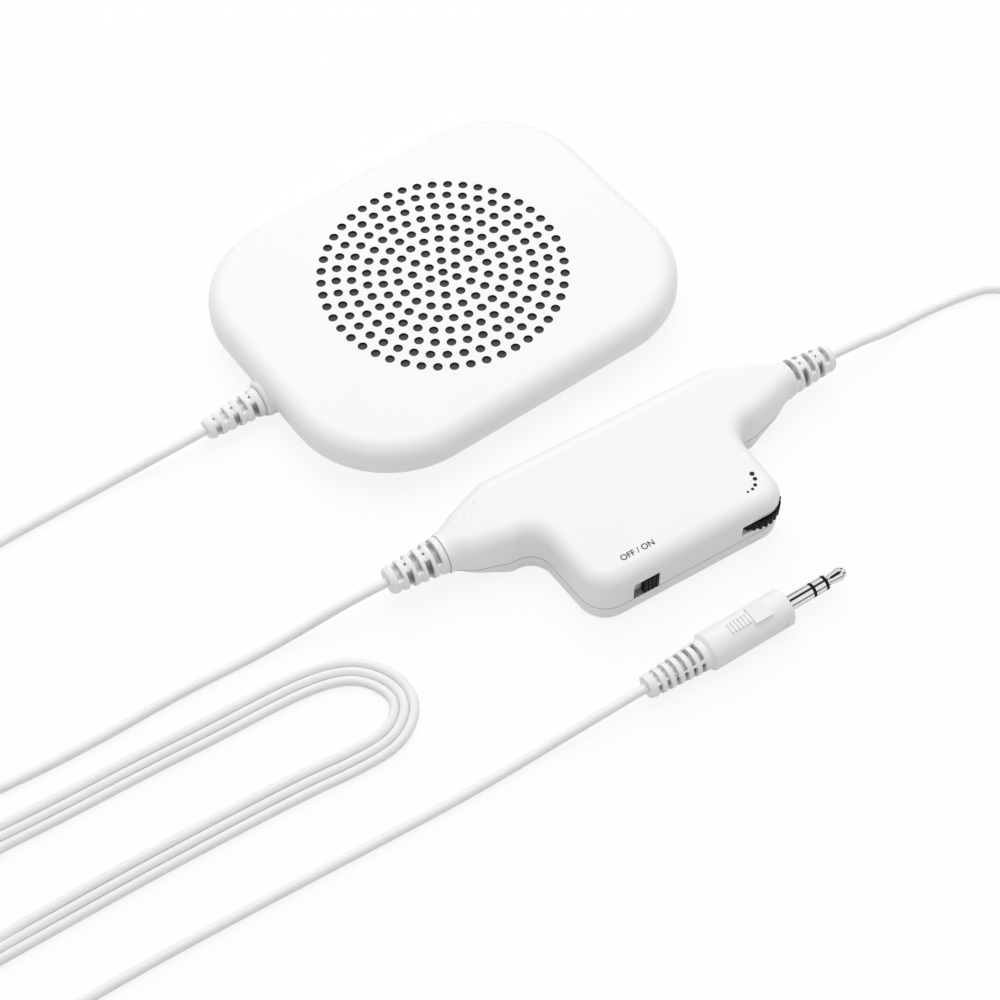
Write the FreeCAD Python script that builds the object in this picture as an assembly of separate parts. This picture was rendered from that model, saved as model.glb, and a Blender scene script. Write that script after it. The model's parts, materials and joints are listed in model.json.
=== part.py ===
import FreeCAD, Part
import math
import os

from FreeCAD import Matrix, Placement, Rotation, Vector

# Pillow speaker: a flat speaker pad, an in-line amplifier box, a 3.5 mm stereo plug and the cords
# between them, laid out on a table. Millimetres, +Z up. The origin is on the table under the
# middle of the pad, +X runs along the pad's long axis, and the pad's cord leaves towards -X.

# Speaker pad, outside
PAD_LENGTH = 107.0
PAD_WIDTH = 86.0
PAD_CORNER = 26.5
PAD_HEIGHT = 14.0
PAD_SPLIT = 7.3
PAD_TOP_ROUND = 4.8
PAD_WALL = 1.7
SPLIT_STEP = 0.35
REAR_LIP = 0.9
REAR_DRAW_IN = 7.0
REAR_FOOT_ROUND = 2.0
TONGUE_THICK = 1.0
TONGUE_HEIGHT = 1.4
SLIP = 0.1

# Grille: a centre hole and rings of evenly spaced holes, one of each ring on the long axis
GRILLE_PITCH = 3.75
GRILLE_COUNTS = (6, 12, 18, 25, 30, 36, 41, 48)
GRILLE_HOLE = 2.35
GRILLE_T = 0.7

# Screws of the pad
PAD_SCREW_X = 38.0
PAD_SCREW_Y = 29.0
PAD_POST_R = 3.2
SCREW_SHANK_R = 0.95
SCREW_HOLE_R = 1.0
SCREW_PASS_R = 1.3
SCREW_HEAD_R = 1.9
SCREW_HEAD_T = 1.3
SCREW_SINK_R = 2.1
SCREW_SINK = 1.6
SCREW_LENGTH = 9.0

# Speaker driver inside the pad
CLOTH_R = 32.0
CLOTH_T = 0.3
GASKET_T = 2.2
DRIVER_R = 32.0
RIM_WIDTH = 3.5
RIM_T = 0.8
BASKET_T = 0.6
BASKET_DEPTH = 3.8
MAGNET_R = 13.5
MAGNET_BORE_R = 8.6
MAGNET_T = 2.7
YOKE_T = 0.9
POLE_R = 6.3
COIL_R = 6.9
COIL_T = 0.35
COIL_LENGTH = 5.0
CONE_T = 0.35
SURROUND_T = 0.3
ROLL_R = 1.0
ROLL_FOOT = 0.3
DRIVER_RING_T = 1.2
DRIVER_RING_GAP = 0.3
KEEPER_OVERLAP = 0.6
TAG_SIZE = (9.0, 5.0, 0.8)

# Cord and the strain reliefs that it leaves through
CORD_D = 2.2
FIRST_RUN = 9.0
BOOT_SLOT = (1.5, 0.8, 0.8)
BOOT_SCALLOP = 0.45
BOOT_PIN_R = 0.35
BOOT_CORE_R = 1.7
BOOT_NECK_R = 1.8
BOOT_FLANGE_R = 2.5
BOOT_FLANGE_T = 1.2
BOOT_SEAT_GAP = 0.05
PAD_BOOT_Z = 4.6
PAD_BOOT_R = 3.75
PAD_BOOT_TIP_R = 2.65
PAD_BOOT_LENGTH = 14.9
PAD_BOOT_RINGS = 6
PAD_BOSS_R = 4.1
PAD_BOSS_OUT = 1.0
PAD_BOSS_ROUND = 0.6
PAD_BOSS_DEPTH = 8.0

# Amplifier box, in its own frame: X along the two cords, Y away from its lobe
AMP_X = 1.1
AMP_Y = -68.2
AMP_HEADING = -5.0
AMP_HEIGHT = 15.0
AMP_AXIS_Z = 7.5
AMP_SPLIT = 5.0
AMP_WALL = 1.6
AMP_BACK = 9.3
AMP_LEFT_BACK = -31.0
AMP_LEFT_FRONT = -33.5
AMP_RIGHT_BACK = 30.0
AMP_RIGHT_FRONT = 31.6
AMP_SPARE = 5.0
AMP_LEFT_END = -47.2
AMP_RIGHT_END = 46.8
AMP_SHOULDER = 8.95
AMP_END_R = 4.75
AMP_TOP_ROUND = 4.0
AMP_FOOT_ROUND = 2.0
AMP_ROOM_ROUND = 1.6
TAPER_SHARES = (0.0, 0.06, 0.14, 0.35, 0.65, 1.0)
TAPER_SOFT = 0.14
TAPER_FRONT_SOFT = 0.12
LOBE_FRONT = -31.3
LOBE_LEFT = -27.6
LOBE_LEFT_FRONT = -25.7
LOBE_RIGHT = 25.8
LOBE_LEFT_ROUND = 7.0
LOBE_RIGHT_ROUND = 6.0
LOBE_LEFT_HOLLOW = 5.5
LOBE_RIGHT_HOLLOW = 5.0
AMP_TONGUE_HEIGHT = 2.0
AMP_BOOT_R = 4.55
AMP_BOOT_TIP_R = 3.3
AMP_BOOT_LENGTH = 14.0
AMP_BOOT_RINGS = 6
AMP_CHANNEL_R = 2.9
AMP_NECK_LENGTH = 3.0

# Volume wheel
WHEEL_X = 19.0
WHEEL_Y = -25.1
WHEEL_Z = 7.4
WHEEL_R = 7.2
WHEEL_T = 2.7
WHEEL_TEETH = 30
WHEEL_NOTCH_R = 0.42
WHEEL_GAP = 0.3
WHEEL_HUB_R = 2.0
WHEEL_HUB_DEPTH = 1.3
HUB_RUNNING_GAP = 0.05
SLOT_LEFT = 12.9
POT_SIDE = 9.5
POT_ROUND = 2.9

# Power switch
WINDOW_LEFT = -16.3
WINDOW_RIGHT = -9.5
WINDOW_TOP = 10.4
KNOB_WIDTH = 3.7
KNOB_GAP = 0.3
KNOB_PROUD = 0.2
KNOB_FACE_T = 1.2
KNOB_TRAVEL = 2.7
APRON_T = 0.6
APRON_LAP = 0.5
SWITCH_LENGTH = 11.0
SWITCH_DEPTH = 4.4
SWITCH_HEIGHT = 5.2
SWITCH_SLOT_HEIGHT = 2.0

# Circuit board and what stands on it
BOARD_LEFT = -22.4
BOARD_RIGHT = 21.8
BOARD_BACK = -15.2
BOARD_FRONT = -28.2
BOARD_CORNER = 3.9
BOARD_Z = 4.0
BOARD_T = 1.0
CHIP_SIZE = (5.0, 4.0, 1.5)
CHIP_AT = (-2.0, -19.2)
CAPACITOR_R = 2.3
CAPACITOR_H = 5.0
CAPACITORS_AT = ((5.4, -24.6), (-1.8, -25.0))
AMP_SCREWS_AT = ((-20.3, -19.4), (9.0, -18.9))
AMP_POST_R = 2.3

# Battery cells and their door
CELL_R = 5.25
CELL_LENGTH = 44.0
CELL_NUB_R = 1.9
CELL_NUB = 0.8
CELL_Z = 7.15
CELL_LEFT = -23.4
CELL_GAP = 0.2
DOOR_LEFT = -24.6
DOOR_RIGHT = 21.8
DOOR_FRONT = -12.2
DOOR_T = 1.35
DOOR_GAP = 0.3
DOOR_LIFT = 0.15
DOOR_FLANGE = 1.2
DOOR_FLANGE_T = 0.6
DOOR_GROOVES = 4
DOOR_GROOVE_LENGTH = 12.0
DOOR_GROOVE_PITCH = 1.4
DOOR_GROOVE_Y = 1.5
CONTACT_T = 0.4
CONTACT_SIZE = 8.0
BAY_WALL_T = 0.8
BAY_WALL_TOP = 11.0

# Plug, in its own frame: X from the rear of its body towards its tip
PLUG_X = -14.4
PLUG_Y = -117.864
PLUG_Z = 4.5
PLUG_HEADING = -3.4
PLUG_BODY_R = 4.45
PLUG_BODY_LENGTH = 22.35
PLUG_BODY_ROUND = 0.9
PLUG_BOOT_R = 3.7
PLUG_BOOT_TIP_R = 2.75
PLUG_BOOT_LENGTH = 15.3
PLUG_BOOT_LAP = 0.2
PLUG_BOOT_RINGS = 7
PLUG_BOOT_SCALLOP = 0.2
PLUG_BOOT_SLOT = (1.05, 0.5, 0.6)
PLUG_FLATS = (8.6, 20.0, 4.8, 0.3)
GRIP_RIBS = 6
GRIP_RIBS_X = 6.7
GRIP_PITCH = 0.95
GRIP_RIB = (0.5, 2.7, 0.3)
GRIP_PAD_X = 12.4
GRIP_PAD = (4.6, 4.5, 0.35)
JACK_R = 1.75
JACK_ROD_R = 0.8
SLEEVE_LENGTH = 7.05
INSULATOR_T = 0.8
RING_LENGTH = 2.7
TIP_LENGTH = 5.7
TIP_WAIST_R = 1.2
TIP_HEAD_R = 1.55

# Hank of the speaker's cord: three flat turns, long and narrow
HANK_RIGHT = (-83.4, -81.9)
HANK_HEADING = 174.3
HANK_LENGTH = 87.0
HANK_R = 11.3
HANK_STRANDS = 3
HANK_STRAND_PITCH = 2.3
HANK_EDGE = 0.5

# Put-away coil of the plug's cord, and its tie
COIL_AT = (88.0, -140.0)
COIL_MEAN_R = 12.6
COIL_COLUMNS = 3
COIL_LAYERS = 3
COIL_PITCH = 2.25
TIE_T = 0.7
TIE_SLACK = 0.05
TIE_WIDTH = 4.0
TIE_ANGLE = 200.0

# Routes of the cords' free stretches, past the run that leaves a strain relief
SPEAKER_CORD_ROUTE = (
    (-90.0, 2.3, 1.8), (-103.0, 3.0, 1.1), (-124.0, 3.4, 1.1), (-146.0, 1.4, 1.1),
    (-164.0, -6.5, 1.1), (-178.0, -21.0, 1.1), (-185.0, -40.0, 1.1), (-188.6, -60.0, 1.1),
    (-189.4, -75.5, 1.1), (-183.0, -86.2, 1.1), (-172.0, -88.0, 1.1), (-162.0, -87.4, 1.1),
)
AMP_CORD_ROUTE = (
    (-80.0, -59.3, 2.9), (-93.0, -57.8, 1.1), (-110.0, -56.0, 1.1), (-131.0, -55.4, 1.1),
    (-150.0, -53.6, 1.1), (-164.0, -51.4, 1.3), (-176.4, -51.2, 3.6), (-181.0, -58.6, 6.3),
    (-176.4, -65.8, 6.3), (-167.0, -66.6, 3.6), (-158.0, -65.7, 1.3), (-150.0, -66.3, 1.1),
)
PLUG_CORD_OUT_ROUTE = (
    (81.0, -73.6, 2.9), (93.0, -73.3, 1.1), (104.0, -75.0, 1.1), (114.5, -77.6, 1.1),
    (120.0, -87.0, 1.1), (118.5, -100.0, 1.1), (111.0, -114.0, 1.1), (103.4, -126.5, 1.1),
    (100.8, -138.0, 1.1), (98.2, -147.0, 1.1),
)
PLUG_CORD_IN_ROUTE = (
    (97.0, -148.5, 1.1), (90.0, -152.8, 1.1), (79.0, -153.6, 1.1), (67.0, -154.2, 1.1),
    (54.0, -159.0, 1.1), (38.0, -171.0, 1.1), (18.0, -188.5, 1.1), (2.0, -206.5, 1.1),
    (-12.0, -216.0, 1.1), (-28.0, -213.5, 1.1), (-46.0, -200.0, 1.1), (-78.0, -178.0, 1.1),
    (-112.0, -157.0, 1.1), (-144.0, -137.5, 1.1), (-166.5, -126.5, 1.1), (-180.2, -120.3, 1.1),
    (-182.3, -111.2, 1.1), (-176.4, -104.0, 1.1), (-162.0, -104.4, 1.1), (-142.0, -105.9, 1.1),
    (-118.0, -108.4, 1.1), (-96.0, -110.9, 1.1), (-74.0, -113.2, 1.1), (-54.0, -114.3, 1.2),
)

PARTS = "parts"
ODD = (1,)
EVEN = (0,)
X_AXIS = Vector(1, 0, 0)
Y_AXIS = Vector(0, 1, 0)
Z_AXIS = Vector(0, 0, 1)
AMP_PLACE = Placement(Vector(AMP_X, AMP_Y, 0), Rotation(Z_AXIS, AMP_HEADING))
PLUG_PLACE = Placement(Vector(PLUG_X, PLUG_Y, PLUG_Z), Rotation(Z_AXIS, PLUG_HEADING))


def box(x0, x1, y0, y1, z0, z1):
    return Part.makeBox(x1 - x0, y1 - y0, z1 - z0, Vector(x0, y0, z0))


def disc(radius, z0, z1, x=0.0, y=0.0):
    return Part.makeCylinder(radius, z1 - z0, Vector(x, y, z0))


def rod(radius, x0, x1, y=0.0, z=0.0):
    """A cylinder that lies along X."""
    return Part.makeCylinder(radius, x1 - x0, Vector(x0, y, z), X_AXIS)


def ring(outer, inner, z0, z1):
    return disc(outer, z0, z1).cut(disc(inner, z0, z1))


def turned(profile, axis=Z_AXIS):
    """The solid that a closed (radius, height) profile sweeps about Z, or about X."""
    if axis is X_AXIS:
        points = [Vector(h, r, 0) for r, h in profile]
    else:
        points = [Vector(r, 0, h) for r, h in profile]
    face = Part.Face(Part.makePolygon(points + points[:1]))
    return face.revolve(Vector(0, 0, 0), axis, 360)


def rounded_outline(corners, z=0.0):
    """A closed wire through (x, y, radius) corners, each rounded by a tangent arc."""
    edges = []
    starts = []
    ends = []
    count = len(corners)
    for i, (x, y, radius) in enumerate(corners):
        here = Vector(x, y, z)
        before = Vector(corners[i - 1][0], corners[i - 1][1], z)
        after = Vector(corners[(i + 1) % count][0], corners[(i + 1) % count][1], z)
        back = (before - here).normalize()
        on = (after - here).normalize()
        if radius <= 0:
            starts.append(here)
            ends.append(here)
            edges.append(None)
            continue
        half = back.getAngle(on) / 2
        reach = radius / math.tan(half)
        middle = here + (back + on).normalize() * (radius / math.sin(half) - radius)
        starts.append(here + back * reach)
        ends.append(here + on * reach)
        edges.append(Part.Arc(starts[-1], middle, ends[-1]).toShape())
    loop = []
    for i in range(count):
        if edges[i]:
            loop.append(edges[i])
        following = starts[(i + 1) % count]
        if (following - ends[i]).Length > 1e-6:
            loop.append(Part.makeLine(ends[i], following))
    return Part.Wire(loop)


def rounded_rectangle(length, width, radius, z=0.0, centre=(0.0, 0.0)):
    x, y = length / 2, width / 2
    signs = ((1, 1), (-1, 1), (-1, -1), (1, -1))
    return rounded_outline([(centre[0] + a * x, centre[1] + b * y, radius) for a, b in signs], z)


def prism(wire, height):
    return Part.Face(wire).extrude(Vector(0, 0, height))


def edges_at(shape, z):
    """The edges that lie wholly at one height."""
    return [e for e in shape.Edges if abs(e.BoundBox.ZMin - z) + abs(e.BoundBox.ZMax - z) < 1e-4]


def joined(shapes):
    return shapes[0].multiFuse(shapes[1:]).removeSplitter()


def save(name, shape):
    os.makedirs(PARTS, exist_ok=True)
    shape.exportStep(os.path.join(PARTS, name + ".step"))


# Strain relief: a taper of rounded rings with slots between them, a neck and a flange behind it,
# along +X from its base

def ringed_taper(length, base_r, tip_r, rings, scallop):
    """The solid of a row of bulging rings whose tops follow a cone."""
    pitch = length / rings
    axis = [Vector(0, 0, 0), Vector(0, base_r - scallop / 2, 0)]
    edges = [Part.makeLine(*axis)]
    last = axis[1]
    for k in range(rings):
        top = base_r + (tip_r - base_r) * (k + 0.5) / rings
        foot = base_r + (tip_r - base_r) * (k + 1) / rings - scallop
        valley = Vector(pitch * (k + 1), foot, 0)
        edges.append(Part.Arc(last, Vector(pitch * (k + 0.5), top, 0), valley).toShape())
        last = valley
    edges.append(Part.makeLine(last, Vector(length, 0, 0)))
    edges.append(Part.makeLine(Vector(length, 0, 0), axis[0]))
    return Part.Face(Part.Wire(edges)).revolve(Vector(0, 0, 0), X_AXIS, 360)


def relief(length, base_r, tip_r, neck_length, rings, scallop, on_sides, on_tops, slot=BOOT_SLOT):
    """A ringed taper with slots in its sides and its top and bottom, in the valleys named."""
    body = ringed_taper(length, base_r, tip_r, rings, scallop)
    width, side_share, top_share = slot
    tall, wide = base_r * side_share, base_r * top_share
    cuts = []
    for k in range(1, rings):
        x = length * k / rings
        x0, x1 = x - width / 2, x + width / 2
        for sign in (1, -1):
            near, far = sorted((sign * BOOT_CORE_R, sign * (base_r + 1)))
            if k % 2 in on_sides:
                cuts.append(box(x0, x1, near, far, -tall, tall))
            if k % 2 in on_tops:
                cuts.append(box(x0, x1, -wide, wide, near, far))
        if k % 2 not in on_tops:
            cuts.append(disc(BOOT_PIN_R, BOOT_CORE_R, base_r + 1, x))
    body = body.cut(Part.makeCompound(cuts))
    if neck_length <= 0:
        return body
    neck = rod(BOOT_NECK_R, -neck_length, 0.2)
    flange = rod(BOOT_FLANGE_R, -neck_length - BOOT_FLANGE_T, -neck_length)
    return joined([body, neck, flange])


# Speaker pad

def pad_outline(inset, z):
    return rounded_rectangle(PAD_LENGTH - 2 * inset, PAD_WIDTH - 2 * inset, PAD_CORNER - inset, z)


def pad_upper_form(inset):
    """The front cover's outer form, or with an inset the room inside it."""
    block = prism(pad_outline(inset, PAD_SPLIT), PAD_HEIGHT - inset - PAD_SPLIT)
    return block.makeFillet(max(PAD_TOP_ROUND - inset, 0.8), edges_at(block, PAD_HEIGHT - inset))


def pad_rear_form(inset):
    """The dished rear cover's outer form, or with an inset the room inside it."""
    rim = SPLIT_STEP + inset
    lip = prism(pad_outline(rim, PAD_SPLIT - REAR_LIP), REAR_LIP)
    dish = Part.makeLoft([pad_outline(rim, PAD_SPLIT - REAR_LIP),
                          pad_outline(REAR_DRAW_IN + inset * 0.6, inset)], True, True)
    if inset == 0:
        dish = dish.makeFillet(REAR_FOOT_ROUND, edges_at(dish, 0))
    return lip.fuse(dish).removeSplitter()


def pad_boss():
    """The round boss that the strain relief leaves through, on the cord's end of the pad."""
    end = -PAD_LENGTH / 2 - PAD_BOSS_OUT
    boss = rod(PAD_BOSS_R, end, -PAD_LENGTH / 2 + PAD_BOSS_DEPTH, 0, PAD_BOOT_Z)
    rim = [e for e in boss.Edges if abs(e.BoundBox.XMin - end) + abs(e.BoundBox.XMax - end) < 1e-4]
    return boss.makeFillet(PAD_BOSS_ROUND, rim)


def pad_boss_bore():
    end = -PAD_LENGTH / 2 - PAD_BOSS_OUT
    reach = -PAD_LENGTH / 2 + PAD_BOSS_DEPTH
    return rod(BOOT_NECK_R + BOOT_SEAT_GAP, end - 1, reach + 1, 0, PAD_BOOT_Z)


def grille_holes():
    """Cylinders for the centre hole and each ring of holes, long enough to pass the cover's top."""
    places = [(0.0, 0.0)]
    for k, count in enumerate(GRILLE_COUNTS, start=1):
        for i in range(count):
            turn = 2 * math.pi * i / count
            places.append((k * GRILLE_PITCH * math.cos(turn), k * GRILLE_PITCH * math.sin(turn)))
    low = PAD_HEIGHT - GRILLE_T - 1
    return Part.makeCompound([disc(GRILLE_HOLE / 2, low, PAD_HEIGHT + 1, x, y) for x, y in places])


def pad_screw_places():
    return [(a * PAD_SCREW_X, b * PAD_SCREW_Y) for a in (1, -1) for b in (1, -1)]


def front_cover():
    shell = pad_upper_form(0).cut(pad_upper_form(PAD_WALL))
    above = box(-PAD_LENGTH, 0, -PAD_WIDTH, PAD_WIDTH, PAD_SPLIT, PAD_HEIGHT)
    boss = pad_boss().common(above)
    top = PAD_HEIGHT - PAD_WALL
    posts = [disc(PAD_POST_R, PAD_SPLIT, top + 0.2, x, y) for x, y in pad_screw_places()]
    holes = [disc(SCREW_HOLE_R, PAD_SPLIT - 1, top - 0.8, x, y) for x, y in pad_screw_places()]
    ring_in = DRIVER_R + DRIVER_RING_GAP
    ring_low = RIM_LOW - KEEPER_OVERLAP
    keeper = ring(ring_in + DRIVER_RING_T, ring_in, ring_low, top + 0.2)
    recess = disc(CLOTH_R + SLIP, RIM_LOW, PAD_HEIGHT - GRILLE_T)
    body = joined([shell, boss, keeper] + posts)
    return body.cut(Part.makeCompound([pad_boss_bore(), recess] + holes)).cut(grille_holes())


def rear_cover():
    shell = pad_rear_form(0).cut(pad_rear_form(PAD_WALL))
    below = box(-PAD_LENGTH, 0, -PAD_WIDTH, PAD_WIDTH, -1, PAD_SPLIT)
    boss = pad_boss().common(below)
    inner = PAD_WALL + SLIP
    tongue = prism(pad_outline(inner, PAD_SPLIT - REAR_LIP), REAR_LIP + TONGUE_HEIGHT)
    tongue = tongue.cut(prism(pad_outline(inner + TONGUE_THICK, 0), PAD_HEIGHT))
    gap = pad_boss().common(box(-PAD_LENGTH, 0, -PAD_WIDTH, PAD_WIDTH, PAD_SPLIT, PAD_HEIGHT))
    tongue = tongue.cut(box(-PAD_LENGTH, 0, -PAD_BOSS_R - SLIP, PAD_BOSS_R + SLIP,
                            PAD_SPLIT, gap.BoundBox.ZMax + SLIP))
    posts = [disc(PAD_POST_R, PAD_WALL - 0.2, PAD_SPLIT, x, y) for x, y in pad_screw_places()]
    cuts = [disc(SCREW_PASS_R, -1, PAD_SPLIT + 1, x, y) for x, y in pad_screw_places()]
    cuts += [disc(SCREW_SINK_R, -1, SCREW_SINK, x, y) for x, y in pad_screw_places()]
    body = joined([shell, boss, tongue] + posts)
    return body.cut(Part.makeCompound([pad_boss_bore()] + cuts))


def screw(x, y, seat, length):
    """A round-headed screw, head down, whose head stops at the seat's height."""
    head = disc(SCREW_HEAD_R, seat - SCREW_HEAD_T, seat, x, y)
    shank = disc(SCREW_SHANK_R, seat, seat + length, x, y)
    slot = box(x - SCREW_HEAD_R, x + SCREW_HEAD_R, y - 0.25, y + 0.25, seat - SCREW_HEAD_T, seat - 0.8)
    cross = slot.fuse(box(x - 0.25, x + 0.25, y - SCREW_HEAD_R, y + SCREW_HEAD_R,
                          seat - SCREW_HEAD_T, seat - 0.8))
    return head.fuse(shank).removeSplitter().cut(cross)


def pad_screws():
    return Part.makeCompound([screw(x, y, SCREW_SINK, SCREW_LENGTH) for x, y in pad_screw_places()])


def pad_boot():
    form = relief(PAD_BOOT_LENGTH, PAD_BOOT_R, PAD_BOOT_TIP_R, PAD_BOSS_OUT + PAD_BOSS_DEPTH,
                  PAD_BOOT_RINGS, BOOT_SCALLOP, ODD, EVEN)
    form.Placement = Placement(Vector(-PAD_LENGTH / 2 - PAD_BOSS_OUT, 0, PAD_BOOT_Z), Rotation(Z_AXIS, 180))
    return form


# Speaker driver, from the cloth behind the grille down to the yoke

CLOTH_TOP = PAD_HEIGHT - GRILLE_T
GASKET_TOP = CLOTH_TOP - CLOTH_T
RIM_TOP = GASKET_TOP - GASKET_T
RIM_LOW = RIM_TOP - RIM_T
PLATE_TOP = RIM_TOP - BASKET_DEPTH
PLATE_LOW = PLATE_TOP - BASKET_T
MAGNET_LOW = PLATE_LOW - MAGNET_T
YOKE_LOW = MAGNET_LOW - YOKE_T
BOWL_R = DRIVER_R - RIM_WIDTH


def grille_cloth():
    return disc(CLOTH_R, GASKET_TOP, CLOTH_TOP)


def driver_gasket():
    return ring(DRIVER_R, BOWL_R + 2 * ROLL_FOOT, RIM_TOP, GASKET_TOP)


def driver_basket():
    """Pressed steel: a flat rim, a sloping bowl with four windows, and a flat seat for the magnet."""
    t = BASKET_T
    seat = MAGNET_R + 1
    profile = [(DRIVER_R, RIM_LOW), (DRIVER_R, RIM_TOP), (BOWL_R, RIM_TOP), (seat, PLATE_TOP),
               (MAGNET_BORE_R, PLATE_TOP), (MAGNET_BORE_R, PLATE_LOW), (seat + t / 2, PLATE_LOW),
               (BOWL_R + t, RIM_LOW)]
    bowl = turned(profile)
    windows = []
    for k in range(4):
        window = box(seat + 2, BOWL_R - 1.5, -7, 7, PLATE_LOW - 1, RIM_TOP + 1)
        window.rotate(Vector(0, 0, 0), Z_AXIS, 45 + 90 * k)
        windows.append(window)
    return bowl.cut(Part.makeCompound(windows))


def driver_magnet():
    return ring(MAGNET_R, MAGNET_BORE_R, MAGNET_LOW, PLATE_LOW)


def driver_yoke():
    plate = disc(MAGNET_R - 0.5, YOKE_LOW, MAGNET_LOW)
    return plate.fuse(disc(POLE_R, MAGNET_LOW - 0.1, PLATE_TOP)).removeSplitter()


def voice_coil():
    low = MAGNET_LOW + 1
    return ring(COIL_R + COIL_T, COIL_R, low, low + COIL_LENGTH)


def coil_top():
    return MAGNET_LOW + 1 + COIL_LENGTH


def driver_cone():
    inner = COIL_R + COIL_T
    edge = roll_middle() - ROLL_R + ROLL_FOOT
    low = coil_top() - CONE_T
    high = RIM_TOP - CONE_T
    return turned([(inner, low), (edge, high), (edge, RIM_TOP), (inner, low + CONE_T)])


def dust_cap():
    base = coil_top()
    r = COIL_R + COIL_T
    rise = 1.2
    ball = (r * r + rise * rise) / (2 * rise)
    outer = Part.makeSphere(ball, Vector(0, 0, base + rise - ball))
    inner = Part.makeSphere(ball - CONE_T, Vector(0, 0, base + rise - ball))
    return outer.cut(inner).common(disc(r + 1, base, base + rise + 1))


def roll_middle():
    return BOWL_R + ROLL_FOOT - ROLL_R


def cone_surround():
    """A half roll from the cone's edge to the basket's rim."""
    outer = Part.makeTorus(roll_middle(), ROLL_R, Vector(0, 0, RIM_TOP))
    inner = Part.makeTorus(roll_middle(), ROLL_R - SURROUND_T, Vector(0, 0, RIM_TOP))
    upper = ring(BOWL_R + ROLL_R, BOWL_R - 2 * ROLL_R, RIM_TOP, RIM_TOP + ROLL_R + 1)
    return outer.cut(inner).common(upper)


def terminal_tag():
    length, width, thick = TAG_SIZE
    x0 = -MAGNET_R - 3 - length
    board = box(x0, x0 + length, -width / 2, width / 2, PAD_WALL, PAD_WALL + thick)
    pads = [disc(0.9, PAD_WALL + thick, PAD_WALL + thick + 0.8, x0 + 2 + 5 * k, 0) for k in (0, 1)]
    return joined([board] + pads)


# Amplifier box: a spine with tapered ends and one rounded lobe

def amp_outline(z, left, right):
    """The spine with its lobe, seen from above; left and right are the ends of the spine."""
    return rounded_outline([
        (left, AMP_BACK, 0), (left, -AMP_SHOULDER, 0),
        (LOBE_LEFT, -AMP_SHOULDER, LOBE_LEFT_HOLLOW), (LOBE_LEFT_FRONT, LOBE_FRONT, LOBE_LEFT_ROUND),
        (LOBE_RIGHT, LOBE_FRONT, LOBE_RIGHT_ROUND), (LOBE_RIGHT, -AMP_SHOULDER, LOBE_RIGHT_HOLLOW),
        (right, -AMP_SHOULDER, 0), (right, AMP_BACK, 0)], z)


def room_outline(z):
    return amp_outline(z, AMP_LEFT_FRONT, AMP_RIGHT_FRONT)


def long_edges(shape, z):
    """The edges at one height that don't lie on the two end planes of the block."""
    return [e for e in edges_at(shape, z) if e.BoundBox.XLength > 1e-4 or e.BoundBox.YMin < -AMP_SHOULDER - 1]


def end_section(x, lean, back, front, low, high, top_round, foot_round):
    """An upright section with eight edges in a fixed order; it stands at x + lean * y."""
    wire = rounded_outline([(back, high, top_round), (-front, high, top_round),
                            (-front, low, foot_round), (back, low, foot_round)])
    wire.Placement = Placement(Vector(x, 0, 0), Rotation(Vector(1, 1, 1), 120))
    shear = Matrix()
    shear.A12 = lean
    return wire.transformGeometry(shear)


def softened(share, soft):
    """How far a taper has gone at a share of its length, when it starts level and curves down."""
    gone = share * share / (2 * soft) if share < soft else share - soft / 2
    return gone / (1 - soft / 2)


def between(first, last, share):
    return first + (last - first) * share


def tapered_end(x_back, x_front, x_end):
    """A loft from the spine's slanting end plane to the round end."""
    near_round = AMP_END_R - 0.15
    x_spine, lean = slanting_line(x_back, x_front)
    sections = []
    for share in TAPER_SHARES:
        gone = softened(share, TAPER_SOFT)
        sections.append(end_section(
            between(x_spine, x_end, share),
            between(lean, 0, share),
            between(AMP_BACK, AMP_END_R, gone),
            between(AMP_SHOULDER, AMP_END_R, softened(share, TAPER_FRONT_SOFT)),
            between(0, AMP_AXIS_Z - AMP_END_R, gone),
            between(AMP_HEIGHT, AMP_AXIS_Z + AMP_END_R, gone),
            between(AMP_TOP_ROUND, near_round, share),
            between(AMP_FOOT_ROUND, near_round, share)))
    return Part.makeLoft(sections, True, False)


def slanting_line(x_back, x_front):
    """Where an end plane of the spine lies: its x at y 0 and how far it leans per mm of y."""
    lean = (x_back - x_front) / (AMP_BACK + AMP_SHOULDER)
    return x_back - lean * AMP_BACK, lean


def amp_block():
    """The rounded block, cut off at the spine's two slanting end planes."""
    block = prism(amp_outline(0, AMP_LEFT_FRONT - AMP_SPARE, AMP_RIGHT_FRONT + AMP_SPARE), AMP_HEIGHT)
    block = block.makeFillet(AMP_TOP_ROUND, long_edges(block, AMP_HEIGHT))
    block = block.makeFillet(AMP_FOOT_ROUND, long_edges(block, 0))
    left, left_lean = slanting_line(AMP_LEFT_BACK, AMP_LEFT_FRONT)
    right, right_lean = slanting_line(AMP_RIGHT_BACK, AMP_RIGHT_FRONT)
    far = 2 * AMP_BACK - 2 * LOBE_FRONT
    corners = [(left + left_lean * far, far, 0), (left - left_lean * far, -far, 0),
               (right - right_lean * far, -far, 0), (right + right_lean * far, far, 0)]
    return block.common(prism(rounded_outline(corners, -1), AMP_HEIGHT + 2))


def amp_form():
    return joined([amp_block(), tapered_end(AMP_LEFT_BACK, AMP_LEFT_FRONT, AMP_LEFT_END),
                   tapered_end(AMP_RIGHT_BACK, AMP_RIGHT_FRONT, AMP_RIGHT_END)])


def amp_room():
    """The hollow inside the box, one wall in from the block's outline."""
    inner = room_outline(AMP_WALL).makeOffset2D(-AMP_WALL)
    room = prism(inner, AMP_HEIGHT - 2 * AMP_WALL)
    return room.makeFillet(AMP_ROOM_ROUND, edges_at(room, AMP_HEIGHT - AMP_WALL))


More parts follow.
